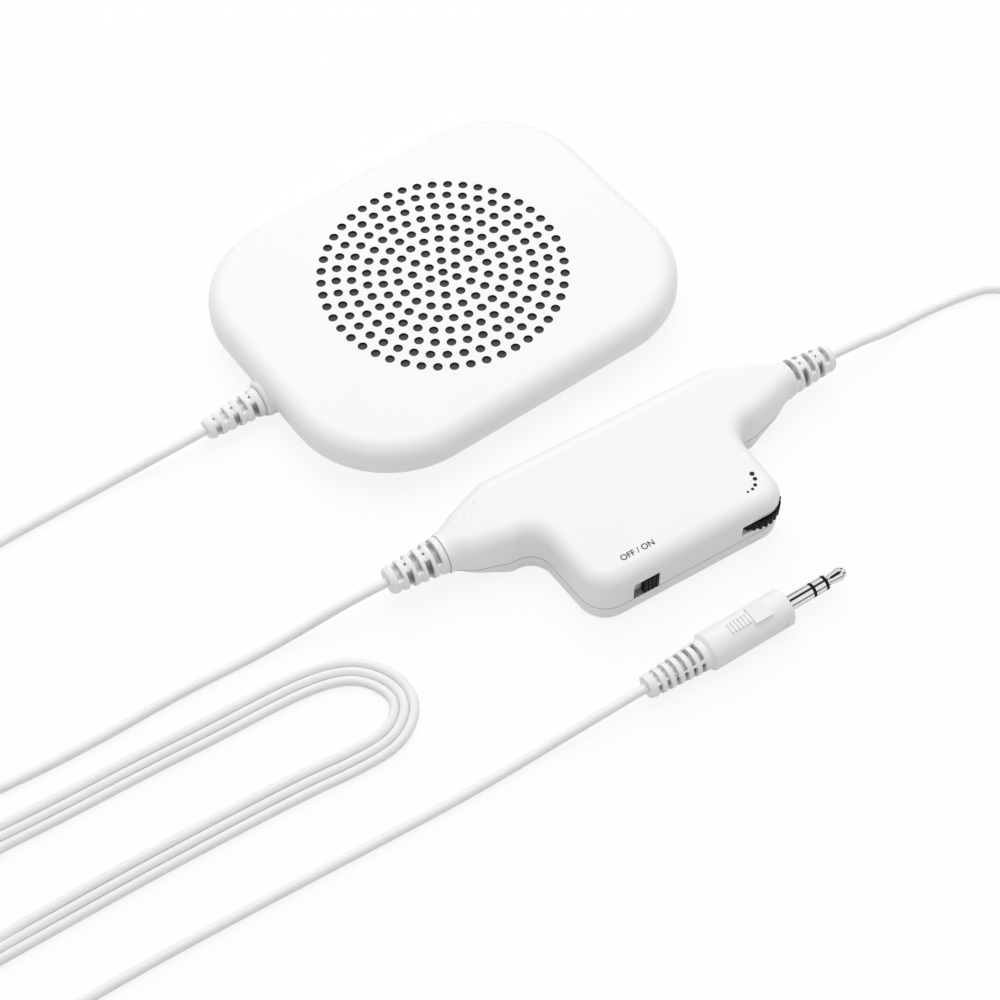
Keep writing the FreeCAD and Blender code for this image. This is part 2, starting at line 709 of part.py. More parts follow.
def amp_end_bores():
    """A neck hole and a wider channel in each tapered end, for the strain relief and its cord."""
    neck = BOOT_NECK_R + BOOT_SEAT_GAP
    left = AMP_LEFT_END + AMP_NECK_LENGTH
    right = AMP_RIGHT_END - AMP_NECK_LENGTH
    bores = [rod(neck, AMP_LEFT_END - 1, left + 1, 0, AMP_AXIS_Z),
             rod(neck, right - 1, AMP_RIGHT_END + 1, 0, AMP_AXIS_Z),
             rod(AMP_CHANNEL_R, left, AMP_LEFT_BACK + AMP_WALL + 1, 0, AMP_AXIS_Z),
             rod(AMP_CHANNEL_R, AMP_RIGHT_BACK - AMP_WALL - 1, right, 0, AMP_AXIS_Z)]
    return Part.makeCompound(bores)


def amp_shells():
    """The hollow box, cut at its parting plane into an upper and a lower half."""
    hollow = amp_form().cut(amp_room()).cut(amp_end_bores())
    wide = 200
    upper = hollow.common(box(-wide, wide, -wide, wide, AMP_SPLIT, AMP_HEIGHT + 1))
    lower = hollow.common(box(-wide, wide, -wide, wide, -1, AMP_SPLIT))
    return upper, lower


def wheel_slot():
    low = WHEEL_Z - WHEEL_GAP
    high = WHEEL_Z + WHEEL_T + WHEEL_GAP
    round_part = disc(WHEEL_R + WHEEL_GAP, low, high, WHEEL_X, WHEEL_Y)
    straight = box(SLOT_LEFT, WHEEL_X, LOBE_FRONT - 1, LOBE_FRONT + AMP_WALL + 0.5, low, high)
    return round_part.fuse(straight)


def switch_window():
    return box(WINDOW_LEFT, WINDOW_RIGHT, LOBE_FRONT - 1, LOBE_FRONT + AMP_WALL + 1, AMP_SPLIT - 1, WINDOW_TOP)


def amp_upper_shell(upper):
    top = AMP_HEIGHT - AMP_WALL + 0.2
    board_top = BOARD_Z + BOARD_T
    posts = [disc(AMP_POST_R, board_top, top, x, y) for x, y in AMP_SCREWS_AT]
    holes = [disc(SCREW_HOLE_R, board_top - 1, top - 1.5, x, y) for x, y in AMP_SCREWS_AT]
    body = joined([upper] + posts)
    return body.cut(Part.makeCompound([wheel_slot(), switch_window()] + holes))


def door_form(gap):
    """The door's plate with its flanges, or with a gap the rebated opening that it slides out of."""
    top = DOOR_LIFT + DOOR_T
    back = AMP_BACK + 1
    wide = DOOR_FLANGE + gap
    plate = box(DOOR_LEFT - gap, DOOR_RIGHT + gap, DOOR_FRONT - gap, back, -1, top + gap)
    flange = box(DOOR_LEFT - wide, DOOR_RIGHT + wide, DOOR_FRONT - wide, back, top - DOOR_FLANGE_T - gap, top + gap)
    return plate.fuse(flange).removeSplitter()


def bay_box(spread, low):
    """The battery bay between its board side and the back wall, or with a spread a box round it."""
    inside = cell_rows()[1] - CELL_R - CELL_GAP
    left = contact_left() - CONTACT_T
    right = contact_right() + CONTACT_T
    return box(left - spread, right + spread, inside - spread, AMP_BACK, low, BAY_WALL_TOP)


def amp_lower_shell(lower):
    inner = room_outline(AMP_WALL).makeOffset2D(-AMP_WALL - SLIP)
    core = room_outline(AMP_WALL).makeOffset2D(-AMP_WALL - SLIP - TONGUE_THICK)
    tongue = prism(inner, AMP_SPLIT + AMP_TONGUE_HEIGHT - AMP_WALL)
    tongue = tongue.cut(prism(core, AMP_HEIGHT)).cut(bay_box(BAY_WALL_T, 0))
    bay_walls = bay_box(BAY_WALL_T, AMP_WALL - 0.2).cut(bay_box(0, 0)).common(prism(inner, AMP_HEIGHT))
    posts = [disc(AMP_POST_R, AMP_WALL - 0.2, BOARD_Z, x, y) for x, y in AMP_SCREWS_AT]
    cuts = [disc(SCREW_PASS_R, -1, AMP_SPLIT, x, y) for x, y in AMP_SCREWS_AT]
    cuts += [disc(SCREW_SINK_R, -1, SCREW_SINK, x, y) for x, y in AMP_SCREWS_AT]
    body = joined([lower, tongue, bay_walls] + posts)
    return body.cut(Part.makeCompound(cuts + [door_form(DOOR_GAP), amp_end_bores()]))


def battery_door():
    """A flanged plate that slides out at the back, with a ridged thumb grip."""
    plate = door_form(0).common(amp_block())
    plate = plate.common(box(-100, 100, -100, 100, DOOR_LIFT, AMP_HEIGHT))
    grooves = []
    for k in range(DOOR_GROOVES):
        y0 = DOOR_GROOVE_Y + DOOR_GROOVE_PITCH * k
        grooves.append(box(-DOOR_GROOVE_LENGTH / 2, DOOR_GROOVE_LENGTH / 2, y0,
                           y0 + DOOR_GROOVE_PITCH / 2, -1, DOOR_LIFT + 0.4))
    return plate.cut(Part.makeCompound(grooves))


def volume_wheel():
    """A thumbwheel with a scalloped rim and a hub that turns in the potentiometer."""
    body = disc(WHEEL_R, WHEEL_Z, WHEEL_Z + WHEEL_T, WHEEL_X, WHEEL_Y)
    hub = disc(WHEEL_HUB_R, WHEEL_Z - WHEEL_HUB_DEPTH, WHEEL_Z + 0.1, WHEEL_X, WHEEL_Y)
    notches = []
    for k in range(WHEEL_TEETH):
        turn = 2 * math.pi * k / WHEEL_TEETH
        x = WHEEL_X + WHEEL_R * math.cos(turn)
        y = WHEEL_Y + WHEEL_R * math.sin(turn)
        notches.append(disc(WHEEL_NOTCH_R, WHEEL_Z - 0.5, WHEEL_Z + WHEEL_T + 0.5, x, y))
    hole = disc(SCREW_HOLE_R, WHEEL_Z, WHEEL_Z + WHEEL_T + 1, WHEEL_X, WHEEL_Y)
    return body.cut(Part.makeCompound(notches)).fuse(hub).removeSplitter().cut(hole)


def volume_wheel_screw():
    top = WHEEL_Z + WHEEL_T
    shank = disc(SCREW_SHANK_R, WHEEL_Z + 0.3, top, WHEEL_X, WHEEL_Y)
    head = disc(SCREW_HEAD_R, top, top + 0.9, WHEEL_X, WHEEL_Y)
    slot = box(WHEEL_X - SCREW_HEAD_R, WHEEL_X + SCREW_HEAD_R, WHEEL_Y - 0.25, WHEEL_Y + 0.25,
               top + 0.5, top + 1)
    return head.fuse(shank).removeSplitter().cut(slot)


def potentiometer():
    low = BOARD_Z + BOARD_T
    high = WHEEL_Z - WHEEL_GAP
    offset = POT_SIDE / 2 - POT_ROUND - 0.1
    outline = rounded_rectangle(POT_SIDE, POT_SIDE, POT_ROUND, low, (WHEEL_X - offset, WHEEL_Y + offset))
    bore = disc(WHEEL_HUB_R + HUB_RUNNING_GAP, WHEEL_Z - WHEEL_HUB_DEPTH - 0.2, high + 1, WHEEL_X, WHEEL_Y)
    return prism(outline, high - low).cut(bore)


def knob_left():
    return WINDOW_RIGHT - KNOB_GAP - KNOB_WIDTH


def switch_back():
    """Y of the switch body's front face, behind the lower shell's tongue."""
    return LOBE_FRONT + AMP_WALL + SLIP + TONGUE_THICK + 0.3


def switch_body():
    middle = (WINDOW_LEFT + WINDOW_RIGHT) / 2
    low = BOARD_Z + BOARD_T
    y0 = switch_back()
    body = box(middle - SWITCH_LENGTH / 2, middle + SWITCH_LENGTH / 2, y0, y0 + SWITCH_DEPTH, low, low + SWITCH_HEIGHT)
    z0 = stem_low() - KNOB_GAP
    slot = box(WINDOW_LEFT - KNOB_GAP, WINDOW_RIGHT + KNOB_GAP, y0 - 1, y0 + 1.6, z0,
               z0 + SWITCH_SLOT_HEIGHT + 2 * KNOB_GAP)
    return body.cut(slot)


def stem_low():
    return AMP_SPLIT + AMP_TONGUE_HEIGHT + KNOB_GAP


def switch_knob():
    """A ribbed face in the window, an apron that closes the window behind it, and a stem that
    reaches over the tongue into the switch."""
    x0 = knob_left()
    face_back = LOBE_FRONT + KNOB_FACE_T
    face = box(x0, x0 + KNOB_WIDTH, LOBE_FRONT - KNOB_PROUD, face_back, AMP_SPLIT + KNOB_GAP, WINDOW_TOP - KNOB_GAP)
    stem = box(x0 + 0.6, x0 + KNOB_WIDTH - 0.6, face_back - 0.1, switch_back() + 1.2, stem_low(),
               stem_low() + SWITCH_SLOT_HEIGHT)
    wall_back = LOBE_FRONT + AMP_WALL + KNOB_GAP
    apron = box(WINDOW_LEFT - APRON_LAP, WINDOW_RIGHT + KNOB_TRAVEL + APRON_LAP, wall_back, wall_back + APRON_T,
                stem_low(), WINDOW_TOP + APRON_LAP)
    grooves = [box(x0 + 0.7 + k, x0 + 1.1 + k, LOBE_FRONT - 1, LOBE_FRONT, 0, AMP_HEIGHT) for k in range(3)]
    return joined([face, stem, apron]).cut(Part.makeCompound(grooves))


def circuit_board():
    centre = ((BOARD_LEFT + BOARD_RIGHT) / 2, (BOARD_BACK + BOARD_FRONT) / 2)
    outline = rounded_rectangle(BOARD_RIGHT - BOARD_LEFT, BOARD_BACK - BOARD_FRONT, BOARD_CORNER, BOARD_Z, centre)
    holes = [disc(SCREW_PASS_R, BOARD_Z - 1, BOARD_Z + BOARD_T + 1, x, y) for x, y in AMP_SCREWS_AT]
    return prism(outline, BOARD_T).cut(Part.makeCompound(holes))


def amp_chip():
    """A small eight-legged amplifier chip."""
    length, width, height = CHIP_SIZE
    x, y = CHIP_AT
    low = BOARD_Z + BOARD_T
    body = box(x - length / 2, x + length / 2, y - width / 2, y + width / 2, low + 0.1, low + height)
    legs = []
    for k in range(4):
        x0 = x - length / 2 + 0.4 + 1.2 * k
        legs.append(box(x0, x0 + 0.5, y - width / 2 - 0.8, y + width / 2 + 0.8, low, low + 0.4))
    return joined([body] + legs)


def capacitors():
    low = BOARD_Z + BOARD_T
    return Part.makeCompound([disc(CAPACITOR_R, low, low + CAPACITOR_H, x, y) for x, y in CAPACITORS_AT])


def cell_rows():
    """Y of the two cells' axes, the first against the back wall."""
    first = AMP_BACK - AMP_WALL - CELL_GAP - CELL_R
    return (first, first - 2 * CELL_R - CELL_GAP)


def battery_cells():
    """Two round cells side by side, laid opposite ways."""
    cells = []
    for k, y in enumerate(cell_rows()):
        body = rod(CELL_R, CELL_LEFT, CELL_LEFT + CELL_LENGTH, y, CELL_Z)
        if k == 0:
            nub = rod(CELL_NUB_R, CELL_LEFT + CELL_LENGTH, CELL_LEFT + CELL_LENGTH + CELL_NUB, y, CELL_Z)
        else:
            nub = rod(CELL_NUB_R, CELL_LEFT - CELL_NUB, CELL_LEFT, y, CELL_Z)
        cells.append(body.fuse(nub).removeSplitter())
    return Part.makeCompound(cells)


def contact_left():
    return CELL_LEFT - CELL_NUB - 0.9


def contact_right():
    return CELL_LEFT + CELL_LENGTH + CELL_NUB + 0.9


def battery_contacts():
    """Four plates in the cell bay, each with a stub or a coned spring that touches its cell."""
    pieces = []
    half = CONTACT_SIZE / 2
    for k, y in enumerate(cell_rows()):
        left_is_spring = k == 0
        for face, sign, spring in ((contact_left(), 1, left_is_spring), (contact_right(), -1, not left_is_spring)):
            x0, x1 = sorted((face, face - sign * CONTACT_T))
            plate = box(x0, x1, y - half, y + half, CELL_Z - half, CELL_Z + half)
            reach = 0.9 + CELL_NUB if spring else 0.9
            reach = reach - 0.05
            stub = Part.makeCone(2.6 if spring else 1.6, 1.3, reach, Vector(face, y, CELL_Z), X_AXIS * sign)
            pieces.append(plate.fuse(stub).removeSplitter())
    return Part.makeCompound(pieces)


def amp_screws():
    return Part.makeCompound([screw(x, y, SCREW_SINK, SCREW_LENGTH) for x, y in AMP_SCREWS_AT])


def amp_boot(end, turn):
    form = relief(AMP_BOOT_LENGTH, AMP_BOOT_R, AMP_BOOT_TIP_R, AMP_NECK_LENGTH,
                  AMP_BOOT_RINGS, BOOT_SCALLOP, EVEN, ODD)
    form.Placement = Placement(Vector(end, 0, AMP_AXIS_Z), Rotation(Z_AXIS, turn))
    return form


# Plug

def plug_grip():
    """The moulded body and its strain relief in one piece, with a raised pad and grip ribs."""
    r, c = PLUG_BODY_R, PLUG_BODY_ROUND
    body = turned([(0, 0), (r - c, 0), (r, c), (r, PLUG_BODY_LENGTH - c * 0.6),
                   (r - c * 0.6, PLUG_BODY_LENGTH), (0, PLUG_BODY_LENGTH)], X_AXIS)
    tail = relief(PLUG_BOOT_LENGTH, PLUG_BOOT_R, PLUG_BOOT_TIP_R, 0, PLUG_BOOT_RINGS,
                  PLUG_BOOT_SCALLOP, ODD + EVEN, ODD + EVEN, PLUG_BOOT_SLOT)
    tail.Placement = Placement(Vector(PLUG_BOOT_LAP, 0, 0), Rotation(Z_AXIS, 180))
    long_side, across, proud = GRIP_PAD
    raised = [box(GRIP_PAD_X, GRIP_PAD_X + long_side, -across / 2, across / 2, r - 1.2, r + proud)]
    rib, wide, high = GRIP_RIB
    for k in range(GRIP_RIBS):
        x0 = GRIP_RIBS_X + GRIP_PITCH * k
        raised.append(box(x0, x0 + rib, -wide / 2, wide / 2, r - 0.6, r + high))
    x0, x1, tall, deep = PLUG_FLATS
    flats = [box(x0, x1, *sorted((s * (r - deep), s * (r + 1))), -tall / 2, tall / 2) for s in (1, -1)]
    grip = joined([body, tail] + raised)
    socket = rod(JACK_ROD_R, PLUG_BODY_LENGTH - 4, PLUG_BODY_LENGTH + 1)
    return grip.cut(Part.makeCompound([socket] + flats))


def jack_stations():
    """Where each piece of the metal pin ends, from the body's front face."""
    ends = [PLUG_BODY_LENGTH]
    for length in (SLEEVE_LENGTH, INSULATOR_T, RING_LENGTH, INSULATOR_T, TIP_LENGTH):
        ends.append(ends[-1] + length)
    return ends


def jack_band(k, radius):
    """One band of the pin between two stations, bored for the rod inside."""
    ends = jack_stations()
    return rod(radius, ends[k], ends[k + 1]).cut(rod(JACK_ROD_R, ends[k], ends[k + 1]))


def plug_insulators():
    return Part.makeCompound([jack_band(1, JACK_R), jack_band(3, JACK_R)])


def plug_tip():
    """The tip's head, waist and nose, with the rod that runs back through the bands."""
    x0 = jack_stations()[4]
    end = x0 + TIP_LENGTH
    head = turned([(0, x0), (JACK_R, x0), (JACK_R, x0 + 0.25), (TIP_WAIST_R, x0 + 0.7),
                   (TIP_WAIST_R, x0 + 1.2), (TIP_HEAD_R, x0 + 3.7), (TIP_HEAD_R, end - 1.5),
                   (1.25, end - 0.7), (0.75, end - 0.15), (0.35, end), (0, end)], X_AXIS)
    core = rod(JACK_ROD_R - 0.02, PLUG_BODY_LENGTH - 3.5, x0 + 0.2)
    return head.fuse(core).removeSplitter()


# Cords

def tube(points, name):
    """A round tube along straight runs joined by tangent arcs as large as the runs allow."""
    edges = []
    start = points[0]
    length = 0.0
    radii = []
    for before, here, after in zip(points, points[1:], points[2:]):
        back = before - here
        on = after - here
        turn = math.pi - back.getAngle(on)
        radius = 0.45 * min(back.Length, on.Length) / math.tan(turn / 2)
        reach = radius * math.tan(turn / 2)
        first = here + back * (reach / back.Length)
        last = here + on * (reach / on.Length)
        to_centre = (back.normalize() + on.normalize()).normalize()
        middle = here + to_centre * (radius / math.cos(turn / 2) - radius)
        edges.append(Part.LineSegment(start, first).toShape())
        edges.append(Part.Arc(first, middle, last).toShape())
        length += (first - start).Length + radius * turn
        radii.append(radius)
        start = last
    edges.append(Part.LineSegment(start, points[-1]).toShape())
    length += (points[-1] - start).Length
    path = Part.Wire(edges)
    circle = Part.Wire(Part.makeCircle(CORD_D / 2, points[0], points[1] - points[0]))
    solid = path.makePipeShell([circle], True, False)
    ideal = math.pi * CORD_D ** 2 / 4 * length
    print(f"{name}: length {length:.1f}, volume over section times length {solid.Volume / ideal:.4f}")
    print("  radii in diameters:", " ".join(f"{r / CORD_D:.1f}" for r in radii))
    return solid


def stadium(radius, z):
    """A long oval of two half circles about the hank's two centres."""
    half = HANK_LENGTH / 2
    edges = [Part.makeLine(Vector(-half, -radius, z), Vector(half, -radius, z)),
             Part.Arc(Vector(half, -radius, z), Vector(half + radius, 0, z), Vector(half, radius, z)).toShape(),
             Part.makeLine(Vector(half, radius, z), Vector(-half, radius, z)),
             Part.Arc(Vector(-half, radius, z), Vector(-half - radius, 0, z), Vector(-half, -radius, z)).toShape()]
    return Part.Wire(edges)


def cord_hank():
    """The closed outer shape of the flat turns that lie side by side."""
    spread = (HANK_STRANDS - 1) * HANK_STRAND_PITCH / 2 + CORD_D / 2
    band = prism(stadium(HANK_R + spread, 0), CORD_D).cut(prism(stadium(HANK_R - spread, 0), CORD_D))
    band = band.makeChamfer(HANK_EDGE, edges_at(band, CORD_D))
    turn = math.radians(HANK_HEADING)
    x = HANK_RIGHT[0] + HANK_LENGTH / 2 * math.cos(turn)
    y = HANK_RIGHT[1] + HANK_LENGTH / 2 * math.sin(turn)
    band.Placement = Placement(Vector(x, y, 0), Rotation(Z_AXIS, HANK_HEADING))
    return band


def coil_section():
    """Half the coil's width across its band, and its height."""
    across = (COIL_COLUMNS - 1) * COIL_PITCH / 2 + CORD_D / 2
    high = (COIL_LAYERS - 1) * COIL_PITCH + CORD_D
    return across, high


def cord_coil():
    across, high = coil_section()
    inner, outer = COIL_MEAN_R - across, COIL_MEAN_R + across
    e = HANK_EDGE
    band = turned([(inner, 0), (outer, 0), (outer, high - e), (outer - e, high), (inner + e, high),
                   (inner, high - e)])
    band.translate(Vector(COIL_AT[0], COIL_AT[1], 0))
    return band


def coil_band(grown):
    """The ring that the coil's bundle fills, grown all round."""
    across, high = coil_section()
    inner = COIL_MEAN_R - across - grown
    outer = COIL_MEAN_R + across + grown
    return turned([(inner, 0), (outer, 0), (outer, high + grown), (inner, high + grown)])


def coil_tie():
    """A soft strap once round the coil's bundle."""
    strap = coil_band(TIE_SLACK + TIE_T).cut(coil_band(TIE_SLACK))
    strap = strap.common(box(0, 2 * COIL_MEAN_R, -TIE_WIDTH / 2, TIE_WIDTH / 2, 0, AMP_HEIGHT))
    strap.rotate(Vector(0, 0, 0), Z_AXIS, TIE_ANGLE)
    strap.translate(Vector(COIL_AT[0], COIL_AT[1], 0))
    return strap


# Every piece under its own name

def placed(shape, place):
    shape = shape.copy()
    shape.Placement = place.multiply(shape.Placement)
    return shape


def pad_pieces():
    return {
        "front_cover": front_cover(), "rear_cover": rear_cover(), "grille_cloth": grille_cloth(),
        "driver_gasket": driver_gasket(), "driver_basket": driver_basket(),
        "driver_magnet": driver_magnet(), "driver_yoke": driver_yoke(), "voice_coil": voice_coil(),
        "driver_cone": driver_cone(), "dust_cap": dust_cap(), "cone_surround": cone_surround(),
        "terminal_tag": terminal_tag(), "pad_screws": pad_screws(), "pad_boot": pad_boot(),
    }


def amp_pieces():
    upper, lower = amp_shells()
    return {
        "amp_upper_shell": amp_upper_shell(upper), "amp_lower_shell": amp_lower_shell(lower),
        "battery_door": battery_door(), "volume_wheel": volume_wheel(),
        "volume_wheel_screw": volume_wheel_screw(), "volume_potentiometer": potentiometer(),
        "power_switch": switch_body(), "power_switch_knob": switch_knob(),
        "circuit_board": circuit_board(), "amplifier_chip": amp_chip(), "capacitors": capacitors(),
        "battery_cells": battery_cells(), "battery_contacts": battery_contacts(),
        "amp_screws": amp_screws(), "amp_left_boot": amp_boot(AMP_LEFT_END, 180),
        "amp_right_boot": amp_boot(AMP_RIGHT_END, 0),
    }


def plug_pieces():
    return {
        "plug_grip": plug_grip(), "plug_sleeve": jack_band(0, JACK_R), "plug_ring": jack_band(2, JACK_R),
        "plug_insulators": plug_insulators(), "plug_tip": plug_tip(),
    }


def leaving(place, tip, way):
    """The first two points of a cord that leaves a strain relief's tip along its frame's X."""
    return [place.multVec(Vector(tip, 0, 0)), place.multVec(Vector(tip + way * FIRST_RUN, 0, 0))]


def cord_points(route):
    return [Vector(*p) for p in route]


def cord_pieces():
    pad_place = Placement(Vector(0, 0, PAD_BOOT_Z), Rotation())
    amp_axis = AMP_PLACE.multiply(Placement(Vector(0, 0, AMP_AXIS_Z), Rotation()))
    at_pad = leaving(pad_place, -PAD_LENGTH / 2 - PAD_BOSS_OUT - PAD_BOOT_LENGTH, -1)
    at_amp_left = leaving(amp_axis, AMP_LEFT_END - AMP_BOOT_LENGTH, -1)
    at_amp_right = leaving(amp_axis, AMP_RIGHT_END + AMP_BOOT_LENGTH, 1)
    at_plug = leaving(PLUG_PLACE, -PLUG_BOOT_LENGTH + PLUG_BOOT_LAP, -1)
    return {
        "speaker_cord": tube(at_pad + cord_points(SPEAKER_CORD_ROUTE), "speaker_cord"),
        "amp_cord": tube(at_amp_left + cord_points(AMP_CORD_ROUTE), "amp_cord"),
        "cord_hank": cord_hank(),
        "plug_cord_out": tube(at_amp_right + cord_points(PLUG_CORD_OUT_ROUTE), "plug_cord_out"),
        "plug_cord_in": tube(cord_points(PLUG_CORD_IN_ROUTE) + at_plug[::-1], "plug_cord_in"),
        "cord_coil": cord_coil(), "coil_tie": coil_tie(),
    }


def main():
    pieces = dict(pad_pieces())
    pieces.update({name: placed(shape, AMP_PLACE) for name, shape in amp_pieces().items()})
    pieces.update({name: placed(shape, PLUG_PLACE) for name, shape in plug_pieces().items()})
    pieces.update(cord_pieces())
    for name, shape in pieces.items():
        save(name, shape)


main()
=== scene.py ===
import json
import math

import bpy
import numpy as np
from mathutils import Matrix, Vector


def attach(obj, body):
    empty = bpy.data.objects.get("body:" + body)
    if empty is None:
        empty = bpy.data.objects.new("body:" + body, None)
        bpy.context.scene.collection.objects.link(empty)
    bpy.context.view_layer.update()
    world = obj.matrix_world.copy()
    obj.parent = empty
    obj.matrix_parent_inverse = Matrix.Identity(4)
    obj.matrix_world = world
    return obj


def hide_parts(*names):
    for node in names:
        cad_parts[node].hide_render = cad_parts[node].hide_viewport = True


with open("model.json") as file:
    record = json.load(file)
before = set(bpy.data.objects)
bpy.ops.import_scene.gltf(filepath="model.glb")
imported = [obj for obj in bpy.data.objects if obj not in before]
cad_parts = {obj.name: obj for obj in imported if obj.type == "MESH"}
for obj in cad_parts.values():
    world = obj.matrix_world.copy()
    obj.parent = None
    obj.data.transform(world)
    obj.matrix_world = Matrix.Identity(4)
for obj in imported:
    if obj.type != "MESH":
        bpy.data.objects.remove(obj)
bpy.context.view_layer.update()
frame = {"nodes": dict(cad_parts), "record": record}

MM = 0.001
ROOT = "speaker_set"
CORD_D = 2.2 * MM
CORD_Z = CORD_D / 2

# Camera, found from the plug's 3.5 mm pin and the pad's rings of holes
CAMERA_FOCAL = 67.73
CAMERA_UNIT = 0.030
CAMERA_TILT = math.radians(54.74)
CAMERA_ROLL = math.radians(-1.51)
CAMERA_HEADING = math.radians(-35.0)
CAMERA_AT = Vector((0.4181, -10.4286, 11.4974)) * CAMERA_UNIT
CAMERA_CLIP = (0.01, 10)
GRILLE_TOP = 0.014


def add(obj, replaced=()):
    """A new piece: linked to the scene, riding on the root body, and the
    solids that it stands for."""
    bpy.context.collection.objects.link(obj)
    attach(obj, ROOT)
    if replaced:
        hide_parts(*replaced)
    return obj


def make_camera():
    """The photograph's camera: the ground frame is turned onto the pad's long axis."""
    turn = Matrix.Rotation(CAMERA_HEADING, 3, "Z")
    right = Vector((1, 0, 0))
    up = Vector((0, math.sin(CAMERA_TILT), math.cos(CAMERA_TILT)))
    tilted_right = math.cos(CAMERA_ROLL) * right + math.sin(CAMERA_ROLL) * up
    tilted_up = -math.sin(CAMERA_ROLL) * right + math.cos(CAMERA_ROLL) * up
    back = tilted_right.cross(tilted_up)
    axes = Matrix((tilted_right, tilted_up, back)).transposed()
    camera = bpy.data.objects.new("camera", bpy.data.cameras.new("camera"))
    camera.data.lens = CAMERA_FOCAL
    camera.data.clip_start, camera.data.clip_end = CAMERA_CLIP
    place = turn @ CAMERA_AT + Vector((0, 0, GRILLE_TOP))
    camera.matrix_world = Matrix.Translation(place) @ (turn @ axes).to_4x4()
    bpy.context.collection.objects.link(camera)
    bpy.context.scene.camera = camera


# Cords. The routes are those of the solids, in metres; the hank and the coil add their turns

PAD_LEAD = [
    (-0.0694, 0.0, 0.0046), (-0.0784, 0.0, 0.0046), (-0.090, 0.0023, 0.0018),
    (-0.103, 0.003, 0.0011), (-0.124, 0.0034, 0.0011), (-0.146, 0.0014, 0.0011),
    (-0.164, -0.0065, 0.0011), (-0.178, -0.021, 0.0011), (-0.185, -0.040, 0.0011),
    (-0.1886, -0.060, 0.0011), (-0.1894, -0.0755, 0.0011), (-0.183, -0.0862, 0.0011),
]
AMP_LEAD = [
    (-0.0599, -0.0629, 0.0075), (-0.0690, -0.0621, 0.0075), (-0.080, -0.0593, 0.0029),
    (-0.093, -0.0578, 0.0011), (-0.110, -0.0560, 0.0011), (-0.131, -0.0554, 0.0011),
    (-0.150, -0.0536, 0.0011), (-0.164, -0.0514, 0.0013), (-0.1764, -0.0512, 0.0036),
    (-0.181, -0.0586, 0.0063), (-0.1764, -0.0658, 0.0063), (-0.167, -0.0666, 0.0036),
    (-0.158, -0.0657, 0.0013),
]
PLUG_LEAD_OUT = [
    (0.0617, -0.0735, 0.0075), (0.0706, -0.0743, 0.0075), (0.081, -0.0736, 0.0029),
    (0.093, -0.0733, 0.0011), (0.104, -0.0750, 0.0011), (0.1145, -0.0776, 0.0011),
    (0.120, -0.087, 0.0011), (0.1185, -0.100, 0.0011), (0.111, -0.114, 0.0011),
    (0.1034, -0.1265, 0.0011),
]
PLUG_LEAD_IN = [
    (0.079, -0.1536, 0.0011), (0.067, -0.1542, 0.0011), (0.054, -0.159, 0.0011),
    (0.038, -0.171, 0.0011), (0.018, -0.1885, 0.0011), (0.002, -0.2065, 0.0011),
    (-0.012, -0.216, 0.0011), (-0.028, -0.2135, 0.0011), (-0.046, -0.200, 0.0011),
    (-0.078, -0.178, 0.0011), (-0.112, -0.157, 0.0011), (-0.144, -0.1375, 0.0011),
    (-0.1665, -0.1265, 0.0011), (-0.1802, -0.1203, 0.0011), (-0.1823, -0.1112, 0.0011),
    (-0.1764, -0.1040, 0.0011), (-0.162, -0.1044, 0.0011), (-0.142, -0.1059, 0.0011),
    (-0.118, -0.1084, 0.0011), (-0.096, -0.1109, 0.0011), (-0.074, -0.1132, 0.0011),
    (-0.054, -0.1143, 0.0012), (-0.0385, -0.1165, 0.0045), (-0.0295, -0.1170, 0.0045),
]

# One turn of the hank, along the middle strand from its lower left round to its upper left
HANK_RIGHT_BEND = [
    (-0.162, -0.0853), (-0.140, -0.0868), (-0.118, -0.0888), (-0.100, -0.0907),
    (-0.0885, -0.0926), (-0.0790, -0.0930), (-0.0728, -0.0888), (-0.0715, -0.0832),
    (-0.0742, -0.0765), (-0.0800, -0.0718), (-0.0905, -0.0693), (-0.108, -0.0680),
    (-0.126, -0.0661), (-0.146, -0.0645), (-0.162, -0.0627),
]
HANK_LEFT_BEND = [
    (-0.172, -0.0616), (-0.1797, -0.0650), (-0.1824, -0.0724), (-0.1800, -0.0802),
    (-0.1724, -0.0846),
]
HANK_TURNS = 3
HANK_PITCH = 2.3 * MM

COIL_AT = (0.088, -0.140)
COIL_R = 12.6 * MM
COIL_PITCH = 2.25 * MM
COIL_POINTS = 16
COIL_START = -0.35
# The column and the layer of each turn, and how many points before its end it starts for the next
COIL_CELLS = ((1, 0), (0, 0), (-1, 0), (-1, 1), (-1, 2), (0, 2), (0, 1), (1, 1), (1, 2))
COIL_SHIFT = 4
# The points past the last turn, and how far each has come down towards the table
COIL_EXIT = ((0, 0.0), (1, 0.0), (2, 0.25), (3, 0.6))


def offset_line(points, sideways):
    """A line moved sideways to its left, by the direction between each point's neighbours."""
    line = np.array(points)
    along = np.gradient(line, axis=0)
    along /= np.linalg.norm(along, axis=1)[:, None]
    return line + sideways * np.stack([-along[:, 1], along[:, 0]], axis=1)


def hank_turns():
    """The three flat turns: each lies a pitch inside the last, and steps in along the far bend."""
    points = []
    for turn in range(HANK_TURNS):
        inward = (turn - 1) * HANK_PITCH
        points += [(x, y, CORD_Z) for x, y in offset_line(HANK_RIGHT_BEND, inward)]
        if turn < HANK_TURNS - 1:
            bend = np.array(HANK_LEFT_BEND)
            steps = inward + HANK_PITCH * np.linspace(0.1, 0.9, len(bend))
            moved = np.array([offset_line(HANK_LEFT_BEND, s)[i] for i, s in enumerate(steps)])
            points += [(x, y, CORD_Z) for x, y in moved]
    return points


